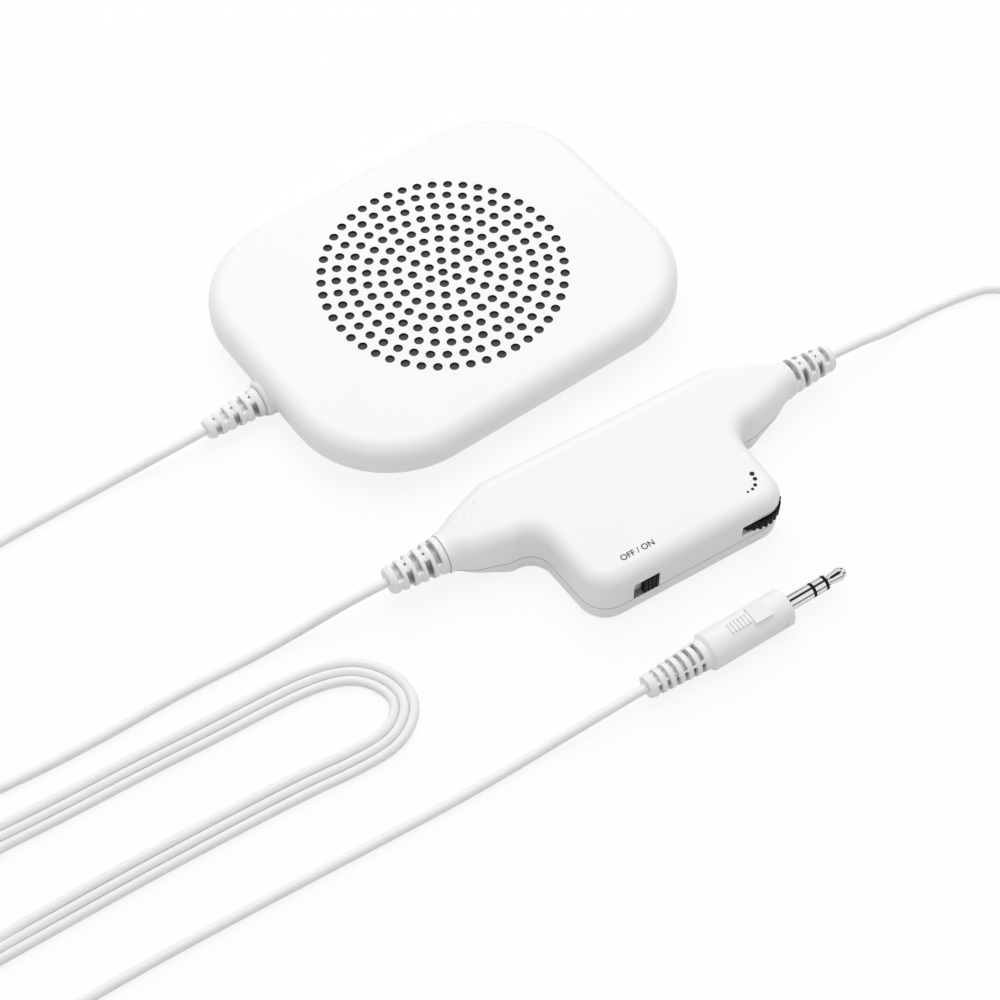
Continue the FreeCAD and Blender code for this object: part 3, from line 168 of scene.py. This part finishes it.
def coil_point(step, column, layer):
    """A point of the coil, in pitches out and up from its middle turn. It is a corner outside the
    circle, r = (R + column * p) / cos(half a step), so that the curve inside it follows the circle."""
    angle = COIL_START - 2 * math.pi * step / COIL_POINTS
    corner = (COIL_R + COIL_PITCH * column) / math.cos(math.pi / COIL_POINTS)
    return (COIL_AT[0] + corner * math.cos(angle), COIL_AT[1] + corner * math.sin(angle),
            CORD_Z + COIL_PITCH * layer)


def coil_turns():
    """Turns that fill the coil's section, one for each cell, and a way down to the table."""
    points = []
    for turn, (column, layer) in enumerate(COIL_CELLS):
        following = COIL_CELLS[min(turn + 1, len(COIL_CELLS) - 1)]
        for step in range(COIL_POINTS):
            share = min(1.0, max(0.0, (step - COIL_POINTS + COIL_SHIFT) / COIL_SHIFT))
            points.append(coil_point(step, column + share * (following[0] - column),
                                     layer + share * (following[1] - layer)))
    for step, lower in COIL_EXIT:
        points.append(coil_point(step, 1 + 0.5 * lower, 2 * (1 - lower)))
    return points


def cord_curve(name, points):
    """A round cord along a smooth curve of order 3 that starts and ends at its end points. Its
    points hold the cord's radius, for a bevel of one metre, because Blender widens a curve's box by
    the radius at its points."""
    curve = bpy.data.curves.new(name, "CURVE")
    curve.dimensions = "3D"
    curve.bevel_depth = 1
    curve.bevel_resolution = 5
    curve.resolution_u = 10
    spline = curve.splines.new("NURBS")
    spline.points.add(len(points) - 1)
    for point, place in zip(spline.points, points):
        point.co = (*place, 1.0)
        point.radius = CORD_D / 2
    spline.order_u = 3
    spline.use_endpoint_u = True
    return bpy.data.objects.new(name, curve)


def curve_length(obj):
    """The length of a curve's own line."""
    line = obj.copy()
    line.data = obj.data.copy()
    line.data.bevel_depth = 0
    mesh = bpy.data.meshes.new_from_object(line)
    spots = np.array([v.co for v in mesh.vertices])
    bpy.data.objects.remove(line)
    return float(np.linalg.norm(np.diff(spots, axis=0), axis=1).sum())


def make_cords():
    speaker = cord_curve("speaker_lead", PAD_LEAD + hank_turns() + AMP_LEAD[::-1])
    add(speaker, replaced=("speaker_cord", "cord_hank", "amp_cord"))
    curve_length(speaker)
    plug = cord_curve("plug_lead", PLUG_LEAD_OUT + coil_turns() + PLUG_LEAD_IN)
    add(plug, replaced=("plug_cord_out", "cord_coil", "plug_cord_in"))
    curve_length(plug)
    return speaker, plug


# The amplifier's own frame: X along the cords, Y away from its lobe

AMP_TURN = math.radians(-5.0)
AMP_AT = (1.1, -68.2)
AMP_HEIGHT = 15.0


def on_amp(x, y, z):
    """A place in the amplifier's frame, in the part's frame. Both are in millimetres."""
    return (AMP_AT[0] + x * math.cos(AMP_TURN) - y * math.sin(AMP_TURN),
            AMP_AT[1] + x * math.sin(AMP_TURN) + y * math.cos(AMP_TURN), z)


# Finishes: shader values are written as Python expressions

class Reading:
    """A value read from a socket. Python's operators on readings and numbers add Math nodes."""

    def __init__(self, nodes, socket):
        self.nodes = nodes
        self.socket = socket

    def math(self, operation, *values):
        return self.nodes.add("ShaderNodeMath", enumerate(values), operation=operation)

    def __add__(self, other):
        return self.math("ADD", self, other)

    def __sub__(self, other):
        return self.math("SUBTRACT", self, other)

    def __rsub__(self, other):
        return self.math("SUBTRACT", other, self)

    def __mul__(self, other):
        return self.math("MULTIPLY", self, other)

    def __truediv__(self, other):
        return self.math("DIVIDE", self, other)

    def __pow__(self, other):
        return self.math("POWER", self, other)

    def __abs__(self):
        return self.math("ABSOLUTE", self)

    __radd__ = __add__
    __rmul__ = __mul__

    def sine(self):
        return self.math("SINE", self)

    def largest(self, other):
        return self.math("MAXIMUM", self, other)

    def rising(self, low, high):
        """0 below low, 1 above high, and a smooth step between."""
        return self.nodes.add("ShaderNodeMapRange", {"Value": self, "From Min": low, "From Max": high},
                              interpolation_type="SMOOTHSTEP")


class Nodes:
    """The node tree of a material or a world."""

    def __init__(self, owner, coordinates):
        owner.use_nodes = True
        self.tree = owner.node_tree
        self.place = self.add("ShaderNodeTexCoord", output=coordinates)
        self.x, self.y, self.z = [self.add("ShaderNodeSeparateXYZ", {0: self.place}, output=k)
                                  for k in range(3)]

    def add(self, kind, values=(), output=0, **settings):
        """A node of a kind: its settings first, then its inputs by name or number. Gives one output."""
        node = self.tree.nodes.new(kind)
        for name, setting in settings.items():
            setattr(node, name, setting)
        for key, value in dict(values).items():
            self.feed(node.inputs[key], value)
        return Reading(self, node.outputs[output])

    def feed(self, socket, value):
        if isinstance(value, Reading):
            self.tree.links.new(value.socket, socket)
        elif isinstance(value, tuple) and len(value) == 3 and socket.type == "RGBA":
            socket.default_value = (*value, 1)
        else:
            socket.default_value = value


class Finish(Nodes):
    """A procedural material on the Principled shader, in Object coordinates."""

    def __init__(self, name, **sockets):
        self.material = bpy.data.materials.new(name)
        super().__init__(self.material, "Object")
        self.shader = self.tree.nodes["Principled BSDF"]
        for socket, value in sockets.items():
            self.set(socket.replace("_", " ").title().replace("Ior", "IOR"), value)

    def set(self, socket, value):
        self.feed(self.shader.inputs[socket], value)

    def noise(self, size, detail=2.0, place=None):
        """Soft noise from 0 to 1, whose patches are about the given size in metres."""
        values = {"Vector": place or self.place, "Scale": 1 / size, "Detail": detail}
        return self.add("ShaderNodeTexNoise", values)

    def stretched(self, along):
        """The place on the piece, drawn out by a factor for each axis."""
        return self.add("ShaderNodeMapping", {"Vector": self.place, "Scale": along})

    def mix(self, share, first, second):
        """The first colour where the share is 0, and the second where it is 1."""
        return self.add("ShaderNodeMix", {0: share, 6: first, 7: second}, output=2, data_type="RGBA")

    def colours(self, share, first, second):
        self.set("Base Color", self.mix(share, first, second))

    def bump(self, height, depth, strength=1.0):
        """Relief from a height of 0 to 1 that stands for a depth in metres."""
        values = {"Height": height, "Distance": depth, "Strength": strength}
        self.set("Normal", self.add("ShaderNodeBump", values))


def shade(colour, factor):
    return tuple(factor * c for c in colour)


def near(value, middle, inner, outer):
    """1 within the inner distance of the middle value, 0 past the outer one."""
    return 1 - abs(value - middle).rising(inner, outer)


def moulded(name, colour, roughness, grain, grain_depth, **sockets):
    """Moulded plastic: faint clouding, a fine spark-eroded grain, and gloss that varies with both."""
    finish = Finish(name, **sockets)
    cloud = finish.noise(size=0.018, detail=3.0)
    fine = finish.noise(size=grain, detail=1.5)
    finish.colour = finish.mix(cloud, shade(colour, 0.985), shade(colour, 1.01))
    finish.rough = roughness + 0.08 * (cloud - 0.5) + 0.10 * (fine - 0.5)
    finish.set("Base Color", finish.colour)
    finish.set("Roughness", finish.rough)
    finish.bump(fine, grain_depth, strength=0.5)
    return finish


def seamed(finish, height):
    """A thin shadowed joint line round the piece at a height."""
    line = near(finish.z, height, SEAM_HALF, 2 * SEAM_HALF)
    finish.colours(line, finish.colour, SEAM_COLOUR)
    finish.set("Roughness", finish.rough + 0.3 * line)
    return finish


def white_plastic(name):
    return moulded(name, WHITE, roughness=0.34, grain=0.00035, grain_depth=0.00002)


def white_rubber(name):
    return moulded(name, RUBBER_WHITE, roughness=0.46, grain=0.0006, grain_depth=0.000015)


def relief_rubber(name, at, heading, length, base_r, tip_r, gap_line):
    """A strain relief's rubber along its taper, with painted shade: the deeper below the taper, the darker,
    and most of all in its side slots. The line where it meets its housing may be dark as well."""
    finish = white_rubber(name)
    x, y, z = finish.x - at[0] * MM, finish.y - at[1] * MM, finish.z - at[2] * MM
    along = x * math.cos(heading) + y * math.sin(heading)
    across = y * math.cos(heading) - x * math.sin(heading)
    radius = (across * across + z * z) ** 0.5
    depth = base_r * MM + along * ((tip_r - base_r) / length) - radius
    sideways = SLOT_SHADE_ON_TOP + (1 - SLOT_SHADE_ON_TOP) * abs(across) / radius
    started = along.rising(*TAPER_START)
    ended = (along - length * MM).rising(*TAPER_END)
    # painted shade in the slots: darker the deeper below the taper, and weaker on top, where the slots face
    # the light
    slot = depth.rising(*SLOT_SHADE_DEPTHS) * started * (1 - ended) * sideways
    line = gap_line * near(along, *GAP_LINE)
    finish.colours(slot.largest(line), finish.colour, SLOT_SHADE_AND_JOINT_COLOUR)
    return finish


def grille_plastic(name):
    """The front cover's plastic; inside the grille, below its face, the hole walls are painted dark as
    shade.
    """
    finish = white_plastic(name)
    radius = (finish.x * finish.x + finish.y * finish.y) ** 0.5
    in_grille = 1 - radius.rising(GRILLE_R, GRILLE_R + MM)
    in_hole = 1 - finish.z.rising(*HOLE_EDGE)
    # painted shade on the hole walls inside the grille, below the cover's face
    dark = in_grille * in_hole
    finish.colours(dark, finish.colour, HOLE_WALL_SHADE)
    finish.set("Roughness", finish.rough + 0.25 * dark)
    return finish


def woven_cloth(name):
    """A plain weave: threads along X and Y that ride over and under each other."""
    finish = Finish(name, roughness=0.9, sheen_weight=0.2)
    turn = math.pi / THREAD_PITCH
    across = abs((finish.x * turn).sine())
    along = abs((finish.y * turn).sine())
    weave = across.largest(along)
    fuzz = finish.noise(size=0.0004)
    finish.colours(weave * 0.8 + fuzz * 0.2, (0.02, 0.02, 0.021), (0.105, 0.105, 0.11))
    finish.bump(weave, depth=0.00012)
    return finish


def felt(name):
    finish = Finish(name, roughness=0.95, sheen_weight=0.3)
    fibres = finish.noise(size=0.0005, detail=5.0)
    finish.colours(fibres, (0.02, 0.02, 0.02), (0.06, 0.06, 0.06))
    finish.bump(fibres, depth=0.0001)
    return finish


def turned_metal(name, colour, roughness, mark):
    """Plated metal: fine lathe marks, faint stains, and gloss that varies with both."""
    finish = Finish(name, metallic=1.0)
    marks = finish.noise(size=mark, detail=1.0, place=finish.stretched((1.0, 0.05, 0.05)))
    stain = finish.noise(size=0.004, detail=3.0)
    finish.colours(stain, shade(colour, 0.93), colour)
    finish.set("Roughness", roughness + 0.08 * (marks - 0.5) + 0.06 * (stain - 0.5))
    finish.bump(marks, depth=0.000004, strength=0.6)
    return finish


def pressed_paper(name):
    finish = Finish(name, roughness=0.85)
    pulp = finish.noise(size=0.0008, detail=6.0)
    finish.colours(pulp, (0.04, 0.04, 0.04), (0.12, 0.12, 0.115))
    finish.bump(pulp, depth=0.00006)
    return finish


def sintered(name):
    finish = Finish(name, roughness=0.6)
    grit = finish.noise(size=0.0006, detail=4.0)
    finish.colours(grit, (0.05, 0.05, 0.055), (0.13, 0.13, 0.135))
    finish.bump(grit, depth=0.00004)
    return finish


def wound_wire(name):
    """Enamelled wire wound in turns along Z, with painted shade: darker where the turns meet."""
    finish = Finish(name, metallic=0.9, roughness=0.35)
    turns = abs((finish.z * (math.pi / WIRE_PITCH)).sine())
    # painted shade in the grooves between the turns
    finish.colours(turns, (0.25, 0.09, 0.04), (0.72, 0.35, 0.19))
    finish.bump(turns, depth=0.00008)
    return finish


def laminate(name):
    """Green board with darker tracks under its lacquer."""
    finish = Finish(name, roughness=0.4)
    values = {"Vector": finish.place, "Scale": TRACKS_PER_METRE}
    tracks = finish.add("ShaderNodeTexVoronoi", values, feature="DISTANCE_TO_EDGE")
    mask = tracks.rising(0.06, 0.12)
    finish.colours(mask, (0.02, 0.16, 0.07), (0.04, 0.26, 0.11))
    finish.bump(mask, depth=0.00002)
    return finish


def printed_wrap(name):
    """A cell's plain dark shrink wrap, a little wrinkled under its gloss."""
    finish = Finish(name, roughness=0.3, coat_weight=0.4)
    wrinkle = finish.noise(size=0.002, detail=2.0)
    finish.colours(wrinkle, (0.03, 0.035, 0.05), (0.06, 0.065, 0.08))
    finish.bump(wrinkle, depth=0.00003)
    return finish


def ink(name):
    finish = Finish(name, roughness=0.6)
    speckle = finish.noise(size=0.0002)
    finish.colours(speckle, (0.008, 0.008, 0.009), (0.02, 0.02, 0.021))
    return finish


WHITE = (0.88, 0.881, 0.886)
RUBBER_WHITE = (0.85, 0.852, 0.858)
# painted shade for the grille's hole walls
HOLE_WALL_SHADE = (0.012, 0.012, 0.013)
SEAM_COLOUR = (0.30, 0.31, 0.33)
SEAM_HALF = 0.08 * MM
# painted shade for the boots' slots, and also the colour of the dark joint line where a boot meets its
# housing
SLOT_SHADE_AND_JOINT_COLOUR = (0.34, 0.34, 0.345)
SLOT_SHADE_DEPTHS = (0.5 * MM, 1.3 * MM)
SLOT_SHADE_ON_TOP = 0.1
TAPER_START = (-0.3 * MM, 0.2 * MM)
TAPER_END = (-0.8 * MM, -0.4 * MM)
GAP_LINE = (0.05 * MM, 0.06 * MM, 0.2 * MM)
HOLE_EDGE = (GRILLE_TOP - 0.06 * MM, GRILLE_TOP - 0.02 * MM)
GRILLE_R = 31.5 * MM
AMP_SEAM = 5.0 * MM
THREAD_PITCH = 0.32 * MM
WIRE_PITCH = 0.25 * MM
TRACKS_PER_METRE = 450.0
PLUG_TURN = math.radians(-3.4)

# Strain reliefs: where the taper starts and heads, its length and its two radii, in millimetres
PAD_BOOT = dict(at=(-54.5, 0, 4.6), heading=math.pi, length=14.9, base_r=3.75, tip_r=2.65, gap_line=1)
AMP_LEFT_BOOT = dict(at=on_amp(-47.2, 0, 7.5), heading=AMP_TURN + math.pi,
                     length=14.0, base_r=4.55, tip_r=3.3, gap_line=1)
AMP_RIGHT_BOOT = dict(at=on_amp(46.8, 0, 7.5), heading=AMP_TURN,
                      length=14.0, base_r=4.55, tip_r=3.3, gap_line=1)
PLUG_BOOT = dict(at=(-14.2, -117.88, 4.5), heading=PLUG_TURN + math.pi,
                 length=15.3, base_r=3.7, tip_r=2.75, gap_line=0)

FINISHES = {
    "white_plastic": white_plastic("white_plastic"),
    "white_rubber": white_rubber("white_rubber"),
    "cord_jacket": moulded("cord_jacket", RUBBER_WHITE, roughness=0.42, grain=0.0009, grain_depth=0.00001),
    "black_plastic": moulded("black_plastic", (0.004, 0.004, 0.004), roughness=0.5, grain=0.0003,
                             grain_depth=0.00002, specular_ior_level=0.15),
    "black_rubber": moulded("black_rubber", (0.03, 0.03, 0.03), roughness=0.65, grain=0.0005,
                            grain_depth=0.00003),
    "black_cloth": woven_cloth("black_cloth"),
    "paper": pressed_paper("paper"),
    "plated_steel": turned_metal("plated_steel", (0.62, 0.63, 0.64), roughness=0.32, mark=0.0004),
    "ferrite": sintered("ferrite"),
    "copper": wound_wire("copper"),
    "nickel": turned_metal("nickel", (0.80, 0.80, 0.795), roughness=0.07, mark=0.0003),
    "board": laminate("board"),
    "cell_wrap": printed_wrap("cell_wrap"),
}
OWN_FINISHES = {
    "front_cover": grille_plastic("grille_plastic"),
    "driver_gasket": felt("felt"),
    "pad_boot": relief_rubber("pad_boot_rubber", **PAD_BOOT),
    "amp_left_boot": relief_rubber("left_boot_rubber", **AMP_LEFT_BOOT),
    "amp_right_boot": relief_rubber("right_boot_rubber", **AMP_RIGHT_BOOT),
    "plug_grip": relief_rubber("plug_rubber", **PLUG_BOOT),
    "amp_upper_shell": seamed(white_plastic("upper_shell_plastic"), AMP_SEAM),
    "amp_lower_shell": seamed(white_plastic("lower_shell_plastic"), AMP_SEAM),
}
INK = ink("ink")


def dress(obj, finish):
    """The finish in every material slot of the object."""
    if not obj.data.materials:
        obj.data.materials.append(finish.material)
    for slot in obj.material_slots:
        slot.material = finish.material


def dress_nodes():
    for row in frame["record"]["subparts"]:
        finish = OWN_FINISHES.get(row["node"], FINISHES[row["material_slot"]])
        dress(frame["nodes"][row["node"]], finish)


# The pad's rounded boss, in millimetres: it starts inside the pad and ends round the cord's relief

BOSS_FOOT = -49.5
BOSS_START = -52.2
BOSS_OUT = 2.25
BOSS_LARGE = 4.9
BOSS_SMALL = 4.12
BOSS_HOLE = 2.2
BOSS_AXIS = 4.6
BOSS_RISE = 0.6


def make_boss(sides=72, rings=14):
    """A dome round the cord's exit. Its profile is a quarter ellipse: with a from 0 to 90 degrees,
    x = start - out * sin a, r = small + (large - small) * cos a, and the middle of the circle
    comes down by a rise * (1 - cos a) onto the cord's axis."""
    quarter = np.linspace(0, math.pi / 2, rings)
    x = np.concatenate([[BOSS_FOOT], BOSS_START - BOSS_OUT * np.sin(quarter), [BOSS_START - BOSS_OUT]])
    fall = np.concatenate([[1.0], np.cos(quarter), [0.0]])
    r = BOSS_SMALL + (BOSS_LARGE - BOSS_SMALL) * fall
    r[-1] = BOSS_HOLE
    middle = BOSS_AXIS + BOSS_RISE * fall
    turn = np.linspace(0, 2 * math.pi, sides, endpoint=False)
    rows = [np.column_stack([np.full(sides, x[k]), r[k] * np.cos(turn), middle[k] + r[k] * np.sin(turn)])
            for k in range(len(x))]
    around = np.arange(sides)
    onward = (around + 1) % sides
    faces = []
    for k in range(len(x) - 1):
        low, high = k * sides, (k + 1) * sides
        faces += np.stack([high + around, high + onward, low + onward, low + around], axis=1).tolist()
    mesh = bpy.data.meshes.new("cord_boss")
    mesh.from_pydata((np.concatenate(rows) * MM).tolist(), [], faces)
    mesh.shade_smooth()
    obj = bpy.data.objects.new("cord_boss", mesh)
    dress(obj, FINISHES["white_plastic"])
    return add(obj)


# Printing on the amplifier: the words' size and place, and each dot's place and radius, are in
# the amplifier's frame, in millimetres

PRINT_LIFT = 0.02 * MM
PRINT_THICK = 0.03 * MM
PRINT_BOLD = 0.02 * MM
AMP_TOP = Matrix.Translation(Vector(on_amp(0, 0, AMP_HEIGHT)) * MM) @ Matrix.Rotation(AMP_TURN, 4, "Z")
WORDS_SIZE = 2.1
WORDS_AT = (-12.4, -26.3)
VOLUME_DOTS = (
    (17.3, -26.2, 0.30), (18.65, -26.1, 0.38), (19.8, -25.5, 0.46),
    (20.75, -24.1, 0.52), (21.0, -22.6, 0.60),
)


def printed_words(name, words, size, at):
    """Words as a thin flat print, centred at a place on the amplifier's top."""
    curve = bpy.data.curves.new(name, "FONT")
    curve.body = words
    curve.size = size * MM
    curve.align_x = "CENTER"
    curve.align_y = "CENTER"
    curve.extrude = PRINT_THICK / 2
    curve.offset = PRINT_BOLD
    shape = bpy.data.objects.new(name + "_line", curve)
    mesh = bpy.data.meshes.new_from_object(shape)
    bpy.data.objects.remove(shape)
    mesh.transform(AMP_TOP @ Matrix.Translation((at[0] * MM, at[1] * MM, PRINT_LIFT)))
    mesh.name = name
    obj = bpy.data.objects.new(name, mesh)
    dress(obj, INK)
    return add(obj)


def printed_dots(name, dots, sides=24):
    """Round dots: each a flat disc, centre + r * (cos t, sin t), on two levels joined by its rim."""
    turn = np.linspace(0, 2 * math.pi, sides, endpoint=False)
    circle = np.stack([np.cos(turn), np.sin(turn)], axis=1)
    verts, faces = [], []
    for k, (x, y, r) in enumerate(dots):
        flat = np.array((x, y)) * MM + r * MM * circle
        for level in (PRINT_LIFT - PRINT_THICK / 2, PRINT_LIFT + PRINT_THICK / 2):
            verts.append(np.column_stack([flat, np.full(sides, level)]))
        low = 2 * k * sides
        high = low + sides
        around = np.arange(sides)
        onward = (around + 1) % sides
        faces.append(list(range(high, high + sides)))
        faces.append(list(range(low + sides - 1, low - 1, -1)))
        faces += np.stack([low + around, low + onward, high + onward, high + around], axis=1).tolist()
    mesh = bpy.data.meshes.new(name)
    mesh.from_pydata(np.concatenate(verts).tolist(), [], faces)
    mesh.transform(AMP_TOP)
    obj = bpy.data.objects.new(name, mesh)
    dress(obj, INK)
    return add(obj)


def make_printing():
    printed_words("switch_words", "OFF / ON", WORDS_SIZE, WORDS_AT)
    printed_dots("volume_dots", VOLUME_DOTS)


# Studio: a white floor and surround, a broad lamp above and a softer one over the back. The fades
# are heights of a direction on the unit sphere

FLOOR_REACH = 3.0
FLOOR_Z = -0.0002
FLOOR_GLOW = 0.85
WORLD_LEVEL = 0.48
HORIZON_FADE = (0.17, 0.35)
ZENITH_FADE = (0.872, 0.892)
GAP_LEVEL = 0.03
LAMP_AIM = (0, -0.03, 0)


def make_floor():
    mesh = bpy.data.meshes.new("floor")
    corners = [(x * FLOOR_REACH, y * FLOOR_REACH, FLOOR_Z) for x, y in ((-1, -1), (1, -1), (1, 1), (-1, 1))]
    mesh.from_pydata(corners, [], [(0, 1, 2, 3)])
    floor = bpy.data.objects.new("floor", mesh)
    bpy.context.collection.objects.link(floor)
    finish = Finish("floor", base_color=(0.9, 0.9, 0.9), roughness=0.9)
    seen = finish.add("ShaderNodeLightPath", output="Is Camera Ray")
    glow = finish.add("ShaderNodeEmission", {"Color": (1.0, 1.0, 1.0), "Strength": 1.0})
    lit = Reading(finish, finish.shader.outputs[0])
    mixed = finish.add("ShaderNodeMixShader", {0: seen * FLOOR_GLOW, 1: lit, 2: glow})
    out = finish.tree.nodes["Material Output"]
    finish.feed(out.inputs["Surface"], mixed)
    dress(floor, finish)


def make_world():
    """White for the camera and a plain soft light. A reflection sees a studio with a dim horizon
    and a dark gap straight above, between its soft lights."""
    world = bpy.data.worlds.new("studio")
    bpy.context.scene.world = world
    nodes = Nodes(world, "Generated")
    camera = nodes.add("ShaderNodeLightPath", output="Is Camera Ray")
    glossy = nodes.add("ShaderNodeLightPath", output="Is Glossy Ray")
    wall = nodes.z.rising(*HORIZON_FADE) * (1 - nodes.z.rising(*ZENITH_FADE))
    mirrored = GAP_LEVEL + (1 - GAP_LEVEL) * wall
    level = camera + (1 - camera) * (WORLD_LEVEL + glossy * (mirrored - WORLD_LEVEL))
    background = nodes.tree.nodes["Background"]
    nodes.feed(background.inputs["Color"], (1, 1, 1))
    nodes.feed(background.inputs["Strength"], level)


def make_lamp(name, at, size, power):
    lamp = bpy.data.objects.new(name, bpy.data.lights.new(name, "AREA"))
    lamp.data.shape = "RECTANGLE"
    lamp.data.size, lamp.data.size_y = size
    lamp.data.energy = power
    lamp.location = at
    lamp.rotation_euler = (Vector(LAMP_AIM) - Vector(at)).to_track_quat("-Z", "Y").to_euler()
    lamp.visible_glossy = False
    bpy.context.collection.objects.link(lamp)


def make_studio():
    make_floor()
    make_world()
    make_lamp("top_lamp", at=(0.12, 0.22, 1.2), size=(1.1, 1.1), power=9.5)
    make_lamp("back_lamp", at=(0.4, 0.85, 0.75), size=(0.8, 0.5), power=2.2)


make_camera()
for cord in make_cords():
    dress(cord, FINISHES["cord_jacket"])
dress_nodes()
make_boss()
make_printing()
make_studio()

scene = bpy.context.scene
scene.view_settings.view_transform = "Standard"
